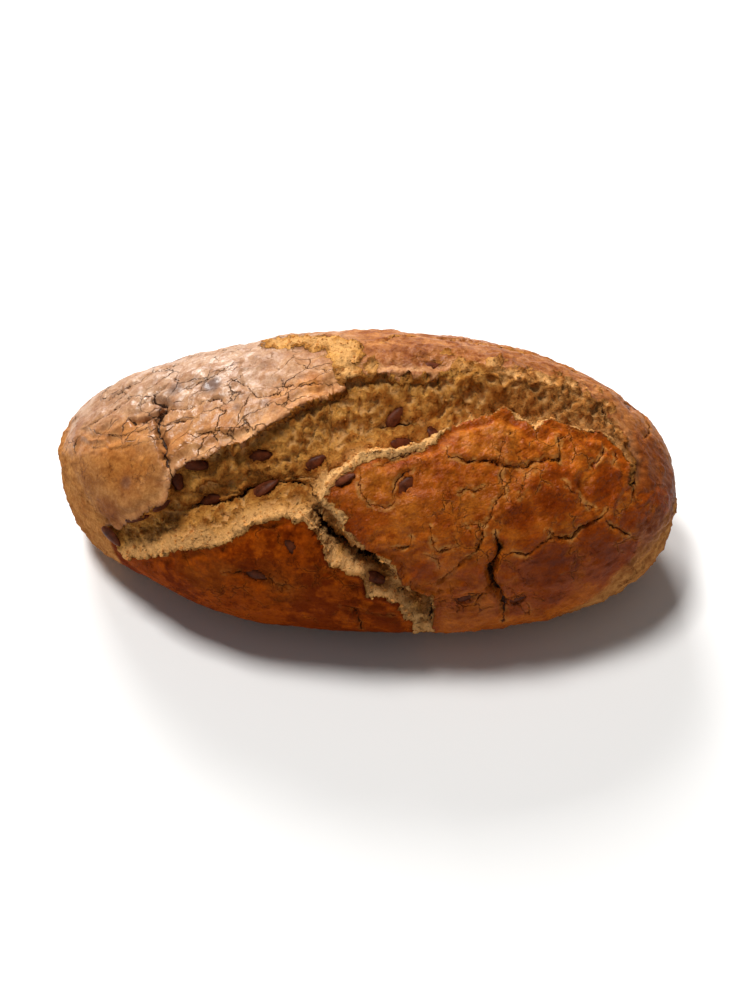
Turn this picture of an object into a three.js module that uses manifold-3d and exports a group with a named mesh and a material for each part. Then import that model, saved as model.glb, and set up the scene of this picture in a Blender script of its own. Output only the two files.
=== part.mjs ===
// A seeded bread roll: an oval loaf about 120 mm long that split open lengthwise in the oven.
// The loaf was baked as one piece, so it is one solid. The flax seeds in it are pieces of their own.
// Millimetres, +Z up. The loaf lies along X and stands on a flat sole at Z = 0.
import * as THREE from "three";
import { mergeVertices } from "three/addons/utils/BufferGeometryUtils.js";
import Module from "manifold-3d";

const wasm = await Module();
wasm.setup();

// Driving dimensions of the loaf. Each list runs from the left end to the right end in equal turns
// of the length angle, and holds the reach of the crust from the long axis.
const LENGTH = 120;
const AXIS_HEIGHT = 17;
const FRONT_REACH = [18.5, 28.5, 32.5, 32, 31.5, 30.5, 28];
const BACK_REACH = [21, 21, 23.5, 27, 29, 29, 27.5];
const CROWN_REACH = [26, 27, 28, 29, 28.5, 27, 25];
const UNDER_REACH = 21;
const END_BLUNTNESS = 0.8;
const SECTION_SQUARENESS = 2.3;

// Places on the crust are [x in mm, turn in degrees round the long axis]: turn 0 is the front,
// 90 the top and 180 the back.
// The edges of the three crust plates that the oven spring tore apart, from left to right.
const BACK_PLATE_EDGE = [
  [-50, 6], [-46, 14], [-41, 27], [-36, 37], [-34, 50], [-28, 57], [-22, 63], [-17, 71], [-11, 80],
  [-4.5, 86], [-4, 93], [3, 96], [10, 96.5], [16, 101], [24, 104], [31, 102.5], [38, 108], [44, 107],
  [48, 95], [50.5, 78], [51.5, 66], [51, 56],
];
const LEFT_PLATE_EDGE = [
  [-45, -8], [-41, 3], [-36, 13], [-30, 19], [-23, 26], [-18, 34], [-13, 36], [-9, 36], [-6.8, 29],
  [-4, 19], [1.4, 17.5], [2.7, 7], [7, 6], [8, 3], [11, -6], [11.5, -20],
];
const RIGHT_PLATE_EDGE = [
  [15, -20], [15.5, -6], [16, 0], [15, 7], [13, 13.5], [10, 15], [8.6, 20], [7.8, 26], [2.5, 29.5],
  [-1, 33], [-4, 39.5], [-6.5, 43], [-5.5, 48], [0, 59], [8, 62], [13, 66], [16.5, 74], [22, 78],
  [26, 83], [29.5, 82], [31.5, 75.5], [35, 84], [39.5, 83], [44, 83.5], [48.5, 77], [50, 66], [50.5, 57],
];
// The bottoms of the split and of the tear that leaves it down the front: [x, turn, depth in mm].
const SPLIT_FLOOR = [
  [-46, 2, 2.5], [-42, 12, 4.5], [-36, 22, 6], [-31, 31, 7], [-25, 39, 7.5], [-18, 45, 8], [-13, 49.5, 8],
  [-8, 50, 8], [-3, 57, 8.5], [4, 64, 9], [11, 69, 9], [17, 79, 8.5], [25, 87, 8], [33, 88, 7], [40, 89, 5.5],
  [46, 86, 4], [49.5, 75, 2.5], [50.6, 62, 1.2],
];
const TEAR_FLOOR = [
  [-7, 42, 7], [-5, 33, 6], [-1, 26, 5], [5, 20, 4.5], [8.5, 13, 4], [12.5, 8, 4], [14, 0, 3.5], [13.5, -16, 1.5],
];
// The crust's torn edge: how far it drops, and how far in from the edge it has dropped.
const CRUST_STEP = 1.2;
const STEP_WIDTH = 2;
const WALL_CURVE = 0.8;
const OPEN_END_FADE = 6;

// The widest cracks in the crust plates, as grooves of this radius.
const CRACKS = [
  { radius: 1.1, along: [[-41, 92], [-38, 83], [-39, 74], [-38.5, 66], [-36, 60], [-35, 54]] },
  { radius: 0.8, along: [[-46, 77], [-42, 79], [-39, 75]] },
  { radius: 0.8, along: [[15, 62], [20, 59.5], [26, 59], [31, 61], [36.5, 66]] },
  { radius: 1.1, along: [[23.5, 37], [25.5, 29], [26, 25], [24.5, 19], [24.5, 12], [26, 4], [26.5, -6]] },
  { radius: 0.7, along: [[22.5, 29], [18.5, 22], [15.5, 13]] },
  { radius: 0.8, along: [[34.5, 35], [37, 30.5], [40.5, 31]] },
  { radius: 0.8, along: [[46.5, 35], [48, 31], [50, 29.5]] },
];

// One flax seed, and where each is: place on the crust, heading of its long axis round the crust's
// normal, how deep its middle is sunk, and its size beside the standard seed's.
const SEED_LENGTH = 5.6;
const SEED_WIDTH = 2.6;
const SEED_THICKNESS = 1.2;
const SEED_TAPER = 0.35;
const SOCKET_GAP = 0.3;
const SEEDS = [
  { x: -17.5, turn: 44, heading: 42, sink: 0.1, size: 1 },
  { x: -30, turn: 52, heading: -6, sink: 0.4, size: 1 },
  { x: -18.5, turn: 58, heading: 8, sink: 0.4, size: 0.95 },
  { x: -8.3, turn: 57, heading: 35, sink: 0.3, size: 0.85 },
  { x: -33.5, turn: 44, heading: -65, sink: 0.3, size: 0.85 },
  { x: -36.5, turn: 32, heading: 60, sink: 0.3, size: 0.8 },
  { x: -41.5, turn: 22, heading: 25, sink: 0.4, size: 0.85 },
  { x: -47.3, turn: 5, heading: -55, sink: 0.3, size: 0.95 },
  { x: -27.5, turn: 36.5, heading: 15, sink: 0.3, size: 0.85 },
  { x: -2.8, turn: 50.5, heading: 30, sink: 0.4, size: 0.9 },
  { x: -11.5, turn: 26, heading: -70, sink: 0.4, size: 0.8 },
  { x: 5.8, turn: 82, heading: 60, sink: 0.2, size: 0.9 },
  { x: 7.5, turn: 70, heading: 10, sink: 0.3, size: 0.85 },
  { x: 13.2, turn: 76, heading: -45, sink: 0.3, size: 0.8 },
  { x: 12, turn: 103, heading: 5, sink: 0.4, size: 0.85 },
  { x: 27, turn: 92, heading: -25, sink: 0.3, size: 0.9 },
  { x: 9, turn: 50, heading: 50, sink: 0.4, size: 0.95 },
  { x: -18, turn: 13, heading: -8, sink: 0.4, size: 1 },
  { x: 30.5, turn: 2, heading: 20, sink: 0.4, size: 0.85 },
  { x: 21, turn: 6, heading: 20, sink: 0.4, size: 0.8 },
  { x: 4.5, turn: 12, heading: -40, sink: 0.3, size: 0.85 },
  { x: -30, turn: 148, heading: 35, sink: 0.4, size: 0.9 },
  { x: 6, turn: 139, heading: -40, sink: 0.4, size: 0.95 },
  { x: 33, turn: 154, heading: 15, sink: 0.4, size: 0.9 },
  { x: -8, turn: 168, heading: -10, sink: 0.4, size: 0.9 },
  { x: 50, turn: 130, heading: 70, sink: 0.4, size: 0.85 },
];

// Rings of the loaf's mesh, and the steps of turn round it: fine over the split, coarse below.
const RINGS = 56;
const FINE_TURNS = { from: -24, to: 120, step: 4 };
const COARSE_STEP = 12;

const CRUST = new THREE.MeshStandardMaterial({ color: 0xb4651f, roughness: 0.55, metalness: 0 });
const SEED_COAT = new THREE.MeshStandardMaterial({ color: 0x3c1a14, roughness: 0.3, metalness: 0 });

const radians = THREE.MathUtils.degToRad;

function splineOf(values) {
  return new THREE.SplineCurve(values.map((value, i) => new THREE.Vector2(i, value)));
}
const frontReach = splineOf(FRONT_REACH);
const backReach = splineOf(BACK_REACH);
const crownReach = splineOf(CROWN_REACH);

// How far the whole crust is from the long axis, at this x and turn.
function reachAt(x, turn) {
  const share = Math.acos(THREE.MathUtils.clamp((-2 * x) / LENGTH, -1, 1)) / Math.PI;
  const cap = Math.max(Math.sin(Math.PI * share), 1e-6) ** END_BLUNTNESS;
  const across = Math.cos(radians(turn));
  const up = Math.sin(radians(turn));
  const side = (across > 0 ? frontReach : backReach).getPoint(share).y * cap;
  const height = up > 0 ? crownReach.getPoint(share).y * cap : UNDER_REACH * Math.sqrt(cap);
  const sum = Math.abs(across / side) ** SECTION_SQUARENESS + Math.abs(up / height) ** SECTION_SQUARENESS;
  return sum ** (-1 / SECTION_SQUARENESS);
}

// The point at this place, this far below the whole crust. The sole cuts everything off at Z = 0.
function pointAt(x, turn, depth = 0) {
  const reach = Math.max(reachAt(x, turn) - depth, 0);
  const height = AXIS_HEIGHT + reach * Math.sin(radians(turn));
  return new THREE.Vector3(x, -reach * Math.cos(radians(turn)), Math.max(height, 0));
}

function lineOnCrust(places) {
  return places.map(([x, turn]) => pointAt(x, turn));
}

// The shortest way from a point to a line of points, and how far along the line it ends.
function nearestOn(line, point) {
  const best = { distance: Infinity, index: 0, share: 0 };
  const closest = new THREE.Vector3();
  for (let i = 0; i + 1 < line.length; i++) {
    const piece = new THREE.Line3(line[i], line[i + 1]);
    const share = piece.closestPointToPointParameter(point, true);
    const distance = piece.at(share, closest).distanceTo(point);
    if (distance < best.distance) Object.assign(best, { distance, index: i, share });
  }
  return best;
}

function isInside(outline, x, turn) {
  let inside = false;
  outline.forEach(([x1, turn1], i) => {
    const [x2, turn2] = outline[(i + 1) % outline.length];
    const crosses = turn1 > turn !== turn2 > turn;
    if (crosses && x < x1 + ((turn - turn1) / (turn2 - turn1)) * (x2 - x1)) inside = !inside;
  });
  return inside;
}

const tornOutline = [
  ...BACK_PLATE_EDGE,
  ...[...RIGHT_PLATE_EDGE].reverse(),
  ...[...LEFT_PLATE_EDGE].reverse(),
];
const plateEdges = [BACK_PLATE_EDGE, LEFT_PLATE_EDGE, RIGHT_PLATE_EDGE].map(lineOnCrust);
const floors = [SPLIT_FLOOR, TEAR_FLOOR].map((places) => ({
  line: lineOnCrust(places),
  depths: places.map((place) => place[2]),
}));
// The split and the tear run out at their lower ends, with no crust edge across them.
const openEnds = [
  [BACK_PLATE_EDGE[0], LEFT_PLATE_EDGE[0]],
  [LEFT_PLATE_EDGE.at(-1), RIGHT_PLATE_EDGE[0]],
].map(lineOnCrust);

// How deep the bread is torn at this place: nothing on a plate, most along the floors.
function tornDepthAt(x, turn) {
  if (!isInside(tornOutline, x, turn)) return 0;
  const point = pointAt(x, turn);
  const toEdge = Math.min(...plateEdges.map((line) => nearestOn(line, point).distance));
  const toOpenEnd = Math.min(...openEnds.map((line) => nearestOn(line, point).distance));
  const fade = THREE.MathUtils.smoothstep(toOpenEnd, 0, OPEN_END_FADE);
  const depths = floors.map(({ line, depths }) => {
    const near = nearestOn(line, point);
    const most = THREE.MathUtils.lerp(depths[near.index], depths[near.index + 1], near.share);
    const share = toEdge / (toEdge + near.distance + 1e-6);
    return CRUST_STEP + (most - CRUST_STEP) * share ** WALL_CURVE;
  });
  return Math.max(...depths) * fade * THREE.MathUtils.smoothstep(toEdge, -STEP_WIDTH, STEP_WIDTH);
}

function surfaceAt(x, turn) {
  return pointAt(x, turn, tornDepthAt(x, turn));
}

// A closed solid of manifold-3d from a geometry, and a geometry from such a solid.
function solidFrom(geometry) {
  const bare = geometry.index ? geometry.toNonIndexed() : geometry.clone();
  bare.deleteAttribute("normal");
  bare.deleteAttribute("uv");
  const merged = mergeVertices(bare, 1e-4);
  return new wasm.Manifold(
    new wasm.Mesh({
      numProp: 3,
      vertProperties: merged.attributes.position.array,
      triVerts: new Uint32Array(merged.index.array),
    }),
  );
}

function geometryFrom(solid) {
  const mesh = solid.getMesh();
  const geometry = new THREE.BufferGeometry();
  geometry.setAttribute("position", new THREE.BufferAttribute(mesh.vertProperties, 3));
  geometry.setIndex(new THREE.BufferAttribute(mesh.triVerts, 1));
  return geometry;
}

// The steps of turn once round the loaf, the last one the same place as the first.
function turnSteps() {
  const turns = [];
  for (let turn = FINE_TURNS.from; turn < FINE_TURNS.to; turn += FINE_TURNS.step) turns.push(turn);
  const last = FINE_TURNS.from + 360;
  for (let turn = FINE_TURNS.to; turn < last; turn += COARSE_STEP) turns.push(turn);
  turns.push(last);
  return turns;
}

// The triangles of the loaf's grid, whose poles are its first and last ring. Each cell is cut along
// the diagonal that changes depth the least, so that the torn edges come out as clean lines.
function cellTriangles(around, depths) {
  const triangles = [];
  for (let ring = 0; ring < RINGS; ring++) {
    for (let step = 0; step < around; step++) {
      const b = ring * (around + 1) + step;
      const a = b + 1;
      const c = b + around + 1;
      const d = c + 1;
      if (ring === 0) triangles.push(b, c, d);
      else if (ring === RINGS - 1) triangles.push(a, b, d);
      else if (Math.abs(depths[a] - depths[c]) < Math.abs(depths[b] - depths[d])) triangles.push(a, b, c, a, c, d);
      else triangles.push(a, b, d, b, c, d);
    }
  }
  return triangles;
}

// The loaf's skin: a sphere's grid, its poles at the two ends, with each vertex put on the bread.
function loafGeometry() {
  const turns = turnSteps();
  const around = turns.length - 1;
  const geometry = new THREE.SphereGeometry(1, around, RINGS);
  const position = geometry.attributes.position;
  const depths = [];
  for (let ring = 0; ring <= RINGS; ring++) {
    const x = (-LENGTH / 2) * Math.cos((Math.PI * ring) / RINGS);
    for (let step = 0; step <= around; step++) {
      const turn = step === around ? turns[0] : turns[step];
      const isPole = ring === 0 || ring === RINGS;
      const depth = isPole ? 0 : tornDepthAt(x, turn);
      const point = isPole ? new THREE.Vector3(x, 0, AXIS_HEIGHT) : pointAt(x, turn, depth);
      position.setXYZ(ring * (around + 1) + step, point.x, point.y, point.z);
      depths.push(depth);
    }
  }
  geometry.setIndex(cellTriangles(around, depths));
  return geometry;
}

// A groove's cutter: a six-sided rod laid along places on the crust.
function crackGeometry({ radius, along }) {
  const section = new THREE.Shape();
  for (let corner = 0; corner < 6; corner++) {
    const angle = (corner * Math.PI) / 3;
    const place = [radius * Math.cos(angle), radius * Math.sin(angle)];
    if (corner === 0) section.moveTo(...place);
    else section.lineTo(...place);
  }
  const path = new THREE.CatmullRomCurve3(along.map(([x, turn]) => surfaceAt(x, turn)));
  return new THREE.ExtrudeGeometry(section, { extrudePath: path, steps: 3 * along.length });
}

// A flax seed lying flat along X, rounded at one end and pointed at the other.
function seedGeometry(gap = 0) {
  const geometry = new THREE.SphereGeometry(1, 8, 6).rotateZ(-Math.PI / 2);
  const position = geometry.attributes.position;
  for (let i = 0; i < position.count; i++) {
    const taper = 1 - SEED_TAPER * position.getX(i);
    position.setXYZ(
      i,
      position.getX(i) * (SEED_LENGTH / 2 + gap),
      position.getY(i) * taper * (SEED_WIDTH / 2 + gap),
      position.getZ(i) * (SEED_THICKNESS / 2 + gap),
    );
  }
  return geometry;
}

// Where a seed lies: flat on the bread around it, its long axis at its heading.
function placeSeed(seed, mesh) {
  const reach = 2.5;
  const turnReach = THREE.MathUtils.radToDeg(reach / reachAt(seed.x, seed.turn));
  const along = surfaceAt(seed.x + reach, seed.turn).sub(surfaceAt(seed.x - reach, seed.turn)).normalize();
  const upward = surfaceAt(seed.x, seed.turn + turnReach).sub(surfaceAt(seed.x, seed.turn - turnReach));
  const normal = new THREE.Vector3().crossVectors(along, upward).normalize();
  const heading = along.clone().applyAxisAngle(normal, radians(seed.heading));
  const across = new THREE.Vector3().crossVectors(normal, heading);
  mesh.quaternion.setFromRotationMatrix(new THREE.Matrix4().makeBasis(heading, across, normal));
  mesh.position.copy(surfaceAt(seed.x, seed.turn)).addScaledVector(normal, -seed.sink);
  mesh.scale.setScalar(seed.size);
  mesh.updateMatrix();
}

const bread = new THREE.Group();

let loaf = solidFrom(loafGeometry());
for (const crack of CRACKS) loaf = loaf.subtract(solidFrom(crackGeometry(crack)));

SEEDS.forEach((seed, i) => {
  const mesh = new THREE.Mesh(seedGeometry(), SEED_COAT);
  mesh.name = `flax_seed_${String(i + 1).padStart(2, "0")}`;
  placeSeed(seed, mesh);
  bread.add(mesh);
  const socket = seedGeometry(SOCKET_GAP / seed.size).applyMatrix4(mesh.matrix);
  loaf = loaf.subtract(solidFrom(socket));
});

const loafMesh = new THREE.Mesh(geometryFrom(loaf), CRUST);
loafMesh.name = "loaf";
bread.add(loafMesh);

// The origin is the middle of the sole: the group slides until the loaf's box is centred on it.
const box = new THREE.Box3().setFromObject(bread);
bread.position.set(-(box.min.x + box.max.x) / 2, -(box.min.y + box.max.y) / 2, 0);

const roll = new THREE.Group();
roll.add(bread);
export default roll;
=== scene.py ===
import math
from itertools import product
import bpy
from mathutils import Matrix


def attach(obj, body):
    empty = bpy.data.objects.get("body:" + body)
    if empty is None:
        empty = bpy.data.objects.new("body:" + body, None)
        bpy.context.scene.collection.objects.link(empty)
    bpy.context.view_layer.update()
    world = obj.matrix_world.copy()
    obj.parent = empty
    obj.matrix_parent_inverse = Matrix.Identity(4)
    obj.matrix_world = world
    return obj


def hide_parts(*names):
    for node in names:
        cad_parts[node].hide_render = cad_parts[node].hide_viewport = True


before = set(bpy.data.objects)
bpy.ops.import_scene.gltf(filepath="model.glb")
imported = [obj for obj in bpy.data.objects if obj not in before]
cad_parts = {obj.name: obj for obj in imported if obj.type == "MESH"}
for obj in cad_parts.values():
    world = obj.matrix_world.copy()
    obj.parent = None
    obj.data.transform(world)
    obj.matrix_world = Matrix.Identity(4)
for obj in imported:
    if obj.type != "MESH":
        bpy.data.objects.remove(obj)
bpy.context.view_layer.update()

from types import SimpleNamespace

import bmesh
import bpy
import numpy as np
from bpy.props import FloatProperty, FloatVectorProperty, IntProperty, PointerProperty
from mathutils import Vector

bl_info = {
    "name": "Seeded bread roll",
    "version": (1, 0, 0),
    "blender": (4, 5, 0),
    "location": "3D View > Sidebar > Bread roll",
    "description": "Finishes a torn, glazed bread roll with flax seeds around its CAD frame",
    "category": "Add Mesh",
}

BODY = "root"
MM = 0.001

# --- The form of the loaf, in millimetres -------------------------------------------------------
# Each list runs from the left end to the right end in equal turns of the length angle, and holds
# the reach of the crust from the long axis.
LENGTH = 120.0
AXIS_HEIGHT = 17.0
FRONT_REACH = (18.5, 28.5, 32.5, 32, 31.5, 30.5, 28)
BACK_REACH = (21, 21, 23.5, 27, 29, 29, 27.5)
CROWN_REACH = (26, 27, 28, 29, 28.5, 27, 25)
UNDER_REACH = 21.0
END_BLUNTNESS = 0.8
SQUARENESS = 2.3

# Places on the crust are (x in mm, turn in degrees round the long axis): turn 0 is the front, 90 the
# top and 180 the back. The edges of the three crust plates that the oven spring tore apart.
BACK_PLATE_EDGE = (
    (-50, 6), (-46, 14), (-41, 27), (-36, 37), (-34, 50), (-28, 57), (-22, 63), (-17, 71), (-11, 80),
    (-4.5, 86), (-4, 93), (3, 96), (10, 96.5), (16, 101), (24, 104), (31, 102.5), (38, 108), (44, 107),
    (48, 95), (50.5, 78), (51.5, 66), (51, 56),
)
LEFT_PLATE_EDGE = (
    (-45, -8), (-41, 3), (-36, 13), (-30, 19), (-23, 26), (-18, 34), (-13, 36), (-9, 36), (-6.8, 29),
    (-4, 19), (1.4, 17.5), (2.7, 7), (7, 6), (8, 3), (11, -6), (11.5, -20),
)
RIGHT_PLATE_EDGE = (
    (15, -20), (15.5, -6), (16, 0), (15, 7), (12.5, 11), (9.2, 12.8), (8, 17.5), (7.2, 23.5), (2.5, 27),
    (-1, 33), (-3.6, 38.5), (-6, 42.5), (-5.5, 48), (0, 59), (8, 62), (13, 66), (16.5, 74), (22, 78),
    (26, 83), (29.5, 82), (31.5, 75.5), (35, 84), (39.5, 83), (44, 83.5), (48.5, 77), (50, 66), (50.5, 57),
)
# The bottoms of the split and of the tear that leaves it down the front: (x, turn, depth).
SPLIT_FLOOR = (
    (-46, 2, 2.5), (-42, 12, 4.5), (-36, 22, 6), (-31, 31, 7), (-25, 39, 7.5), (-18, 45, 8), (-13, 49.5, 8),
    (-8, 50, 8), (-3, 57, 8.5), (4, 64, 9), (11, 69, 9), (17, 79, 8.5), (25, 87, 8), (33, 88, 7),
    (40, 89, 5.5), (46, 86, 4), (49.5, 75, 2.5), (50.6, 62, 1.2),
)
TEAR_FLOOR = (
    (-7, 41, 7), (-6, 31, 6.5), (-2.5, 24.5, 6), (0.5, 21.5, 5.5), (4.5, 17.5, 5), (7.5, 12.5, 4.5),
    (11, 7, 4.5), (14, 3, 4), (14.5, -3, 3), (13.5, -16, 1.5),
)
# The torn edge drops by the crust's thickness within the step's width, and then curves to the bottom.
CRUST_STEP = 1.2
STEP_WIDTH = 0.7
WALL_CURVE = 0.8
# A tear gets shallow over this far from its open ends.
OPEN_END_FADE = 6.0
# Bare crumb is told as a distance in from the crust's edge, up to this far.
BARE_REACH = 3.0
# The loaf's usual reach from its long axis, which turns degrees round it into millimetres.
MEAN_REACH = 28.0

# How much of a seed shows, as a share of its outline, and how deep it has sunk: (share, mm). A seed
# this far in from the torn edge lies in the crumb.
SEEDS_IN_CRUMB = (0.6, 0.35)
SEEDS_IN_CRUST = (0.38, 0.6)
DEEP_IN_CRUMB = 0.8

# Cracks: (half width, depth, lift, places). Lift raises the side on the left hand of one who follows
# the places, or the right hand if it is negative.
TOP_CRACKS = (
    (0.55, 1.0, -0.5, ((-45.5, 92), (-42.5, 89.5), (-40, 90), (-39, 92), (-36.5, 96), (-35, 99),
     (-32.5, 102.5), (-30.5, 104))),
    (1.0, 2.4, 0.0, ((-40.3, 90), (-40.2, 86.5), (-38.5, 84), (-37.3, 83), (-37.2, 80.5), (-38.3, 75.5),
     (-38.2, 70), (-37.7, 65), (-36.8, 60.5), (-36, 54.5), (-35.2, 50), (-34, 44))),
    (0.6, 1.0, 0.3, ((-37.2, 80.5), (-35.2, 78.5), (-33, 77.7), (-31.5, 79))),
    (0.85, 1.7, 0.3, ((-38.5, 75), (-40.3, 75), (-41.5, 74), (-43.3, 73.5), (-44.6, 76.5))),
    (0.5, 0.8, 0.3, ((-31.5, 80.5), (-28.6, 81), (-26.5, 82.5), (-25.8, 79.5))),
    (0.7, 0.9, 0.3, ((-36, 70), (-33.5, 71.5), (-30.3, 73.8))),
    (0.45, 0.7, 0.3, ((-30.6, 66), (-27.7, 65.5), (-26.5, 66.5), (-24, 64.5))),
    (0.45, 0.8, 0.25, ((-26, 90.5), (-24.8, 92), (-22.3, 88.5), (-21, 84), (-19.7, 82.5), (-16.9, 83),
     (-15.4, 86.5), (-16, 90))),
    (0.45, 0.7, -0.3, ((-27, 96), (-24, 99.5), (-21.7, 102))),
    (0.1, 0.0, 0.4, ((-53, 61), (-50, 60.5), (-46, 60), (-42, 60.5), (-38.5, 62))),
    (0.3, 0.2, 0.4, ((-49, 69), (-46, 67), (-42, 67.5), (-39, 69))),
    (0.45, 0.7, 0.2, ((-54, 78), (-51, 80), (-48, 86), (-44.5, 91))),
    (0.45, 0.7, 0.2, ((-50, 97), (-46, 101), (-42, 107), (-37, 112))),
    (0.45, 0.7, 0.2, ((-35.5, 88), (-32, 92), (-29, 94.5), (-26, 100))),
    (0.45, 0.7, 0.3, ((-13, 98), (-9.5, 95), (-6, 94.5))),
    (0.5, 0.8, 0.3, ((-15.5, 88), (-12, 86.5), (-8, 88.5), (-5, 90))),
)
FRONT_CRACKS = (
    (0.65, 1.2, 0.7, ((15.9, 64), (16.2, 61), (18, 60), (20.1, 58.8), (22.5, 60), (24.8, 61), (26.3, 59),
     (28.1, 58.8), (30.5, 60), (31.6, 62), (33.2, 62.5), (34, 64), (36.7, 65), (36.8, 68), (36.3, 71.5),
     (36.2, 76))),
    (0.45, 0.7, 0.3, ((27.3, 72.5), (26.2, 68.5), (25.5, 65), (25.6, 61))),
    (0.5, 0.8, 0.15, ((26.2, 60.5), (26.2, 55.5), (26.8, 50.5), (26.7, 48.5), (25.5, 46), (24.6, 43),
     (24.3, 39.5), (23.2, 36), (23.5, 32.5))),
    (0.5, 0.8, -0.15, ((32.1, 59), (30.6, 57), (30.2, 53), (29.9, 49), (29.4, 47.5))),
    (0.6, 0.9, -0.5, ((19.6, 37.5), (22.6, 37), (23.4, 32.5), (22.6, 29), (20.4, 24.5), (18.6, 20.5),
     (16.9, 16), (15.6, 13.5), (12, 12.5))),
    (1.05, 2.8, 0.0, ((25.5, 34), (26, 30.5), (26.9, 27), (26, 22.5), (25, 19), (25, 15.5), (25.7, 12.5),
     (27.4, 7), (28.1, -1), (28.3, -11))),
    (0.45, 0.6, 0.2, ((13, 26), (14.7, 25.5), (15.7, 24.5), (15.7, 20))),
    (0.4, 0.5, 0.2, ((13.8, 36), (14.3, 31.5), (15.1, 27.5), (18.6, 29.5))),
    (0.6, 0.8, 0.4, ((7.2, 28), (9, 28), (10.4, 29), (10.6, 32))),
    (0.65, 1.2, 0.4, ((34.9, 35), (36.2, 33), (37.8, 31.5), (39.4, 30.5), (40.5, 33), (41.3, 36), (43.4, 38),
     (45.4, 39), (46.1, 43))),
    (0.75, 1.3, 0.0, ((45.8, 38), (47.4, 34), (49.5, 30), (50.3, 28))),
    (0.5, 0.7, -0.3, ((26.6, 24), (29.1, 26.5), (31.6, 25), (33.1, 28), (34.8, 29.5), (36.2, 33))),
    (0.8, 1.4, 0.0, ((21, 8.5), (22.8, 8), (24.8, 9))),
    (0.7, 1.1, 0.0, ((24.6, 9), (23.5, 6), (22.9, 3))),
    (0.9, 1.3, 0.0, ((28.2, 5), (29.9, 4), (31, 4.5))),
    (0.5, 0.8, 0.0, ((32.5, -1), (33, -4), (32.4, -8))),
    (0.6, 0.9, 0.5, ((45, 76), (44.6, 71), (43, 66), (42.8, 62))),
    (0.55, 0.9, 0.3, ((47.2, 76), (47.6, 72), (46.8, 68))),
    (0.65, 1.0, 0.3, ((51.2, 66), (51.6, 61), (51, 56), (51.2, 50))),
    (0.6, 0.8, 0.5, ((3.5, 55), (5.5, 57.5), (8, 60), (10.5, 61.5))),
    (0.75, 1.3, 0.3, ((6.5, 46), (7, 49), (7.8, 52), (9.6, 55.5))),
    (0.45, 0.6, -0.4, ((0.5, 53), (0.6, 49), (1.3, 45.5), (3.2, 42), (6, 41.5), (7.2, 44.5))),
    (0.45, 0.6, 0.2, ((18.5, 48), (20, 50), (21.5, 48.5), (23, 50.5))),
    (0.45, 0.6, 0.2, ((37.5, 55), (38.6, 51), (40.5, 49), (41, 45.5), (43.5, 44.5))),
    (0.4, 0.5, 0.2, ((-12, 9.5), (-15, 12), (-19, 14), (-24, 13))),
    (0.8, 1.4, 0.0, ((0, 2), (1, -4), (1.5, -14))),
    (0.5, 0.7, 0.2, ((-2, 3), (3, 0), (8, -2.5))),
)
BACK_CRACKS = (
    (0.55, 0.9, 0.3, ((44.3, 108), (44.8, 102), (47, 97), (47.2, 90))),
    (0.5, 0.8, -0.3, ((-48, 118), (-40, 126), (-31, 131), (-20, 133), (-10, 139))),
    (0.6, 1.0, 0.3, ((8, 124), (16, 128), (25, 127), (33, 133), (41, 131))),
    (0.5, 0.8, 0.2, ((-22, 133), (-20, 143), (-14, 150), (-12, 160))),
    (0.5, 0.8, 0.2, ((25, 127), (24, 138), (28, 146), (26, 157))),
    (0.5, 0.7, -0.2, ((52, 96), (54, 112), (53, 130), (50, 147))),
    (0.5, 0.8, 0.2, ((2, 112), (4, 121), (8, 124))),
)
# Deep gaps that run along the bottom of the split and of the tear, drawn as dark lines of painted shade.
GAPS = (
    (0.9, 2.6, 0.0, ((-33, 29), (-30.5, 32.5), (-27, 34.5), (-24.6, 35.5), (-22.3, 38.5), (-20.4, 43),
     (-17, 46), (-13.5, 47), (-10.2, 46), (-8.4, 46), (-8, 43))),
    (1.6, 3.2, 0.0, ((-7.6, 38), (-6.2, 32), (-4.4, 27.5), (-2.3, 24.5), (0.5, 22), (3.4, 19.3), (5.8, 16),
     (7.4, 13))),
    (1.3, 2.6, 0.0, ((8.8, 7), (11, 5.5), (13, 4.5), (14.3, 1), (14.6, -4), (14.3, -10))),
    (0.9, 2.0, 0.0, ((2.5, 75), (4.5, 78), (7, 79.5), (10, 79.5))),
    (0.9, 1.8, 0.0, ((21.5, 85), (24, 86), (27.5, 87), (31, 86.5))),
)
# The large lumps left on the crust: (x, turn, reach across, height).
LUMPS = (
    (41.5, 54, 2.4, 0.9), (20, 68, 5.0, 0.5), (27.5, 79, 2.6, 1.0), (-7, 86, 3.6, 0.7), (11, 20, 4.6, 0.5),
    (34, 20, 6.0, 0.5), (26, 52, 5.0, 0.3), (38, 71, 4.0, 0.5), (4, 48, 2.6, 0.5), (-13, 31, 5.0, 0.6),
    (-29, 14, 7.0, 0.4), (-44, 46, 6.0, 0.5), (-18, 82, 5.0, 0.3), (-30, 88, 5.0, 0.3), (31, 39, 5.0, 0.4),
)

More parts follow.
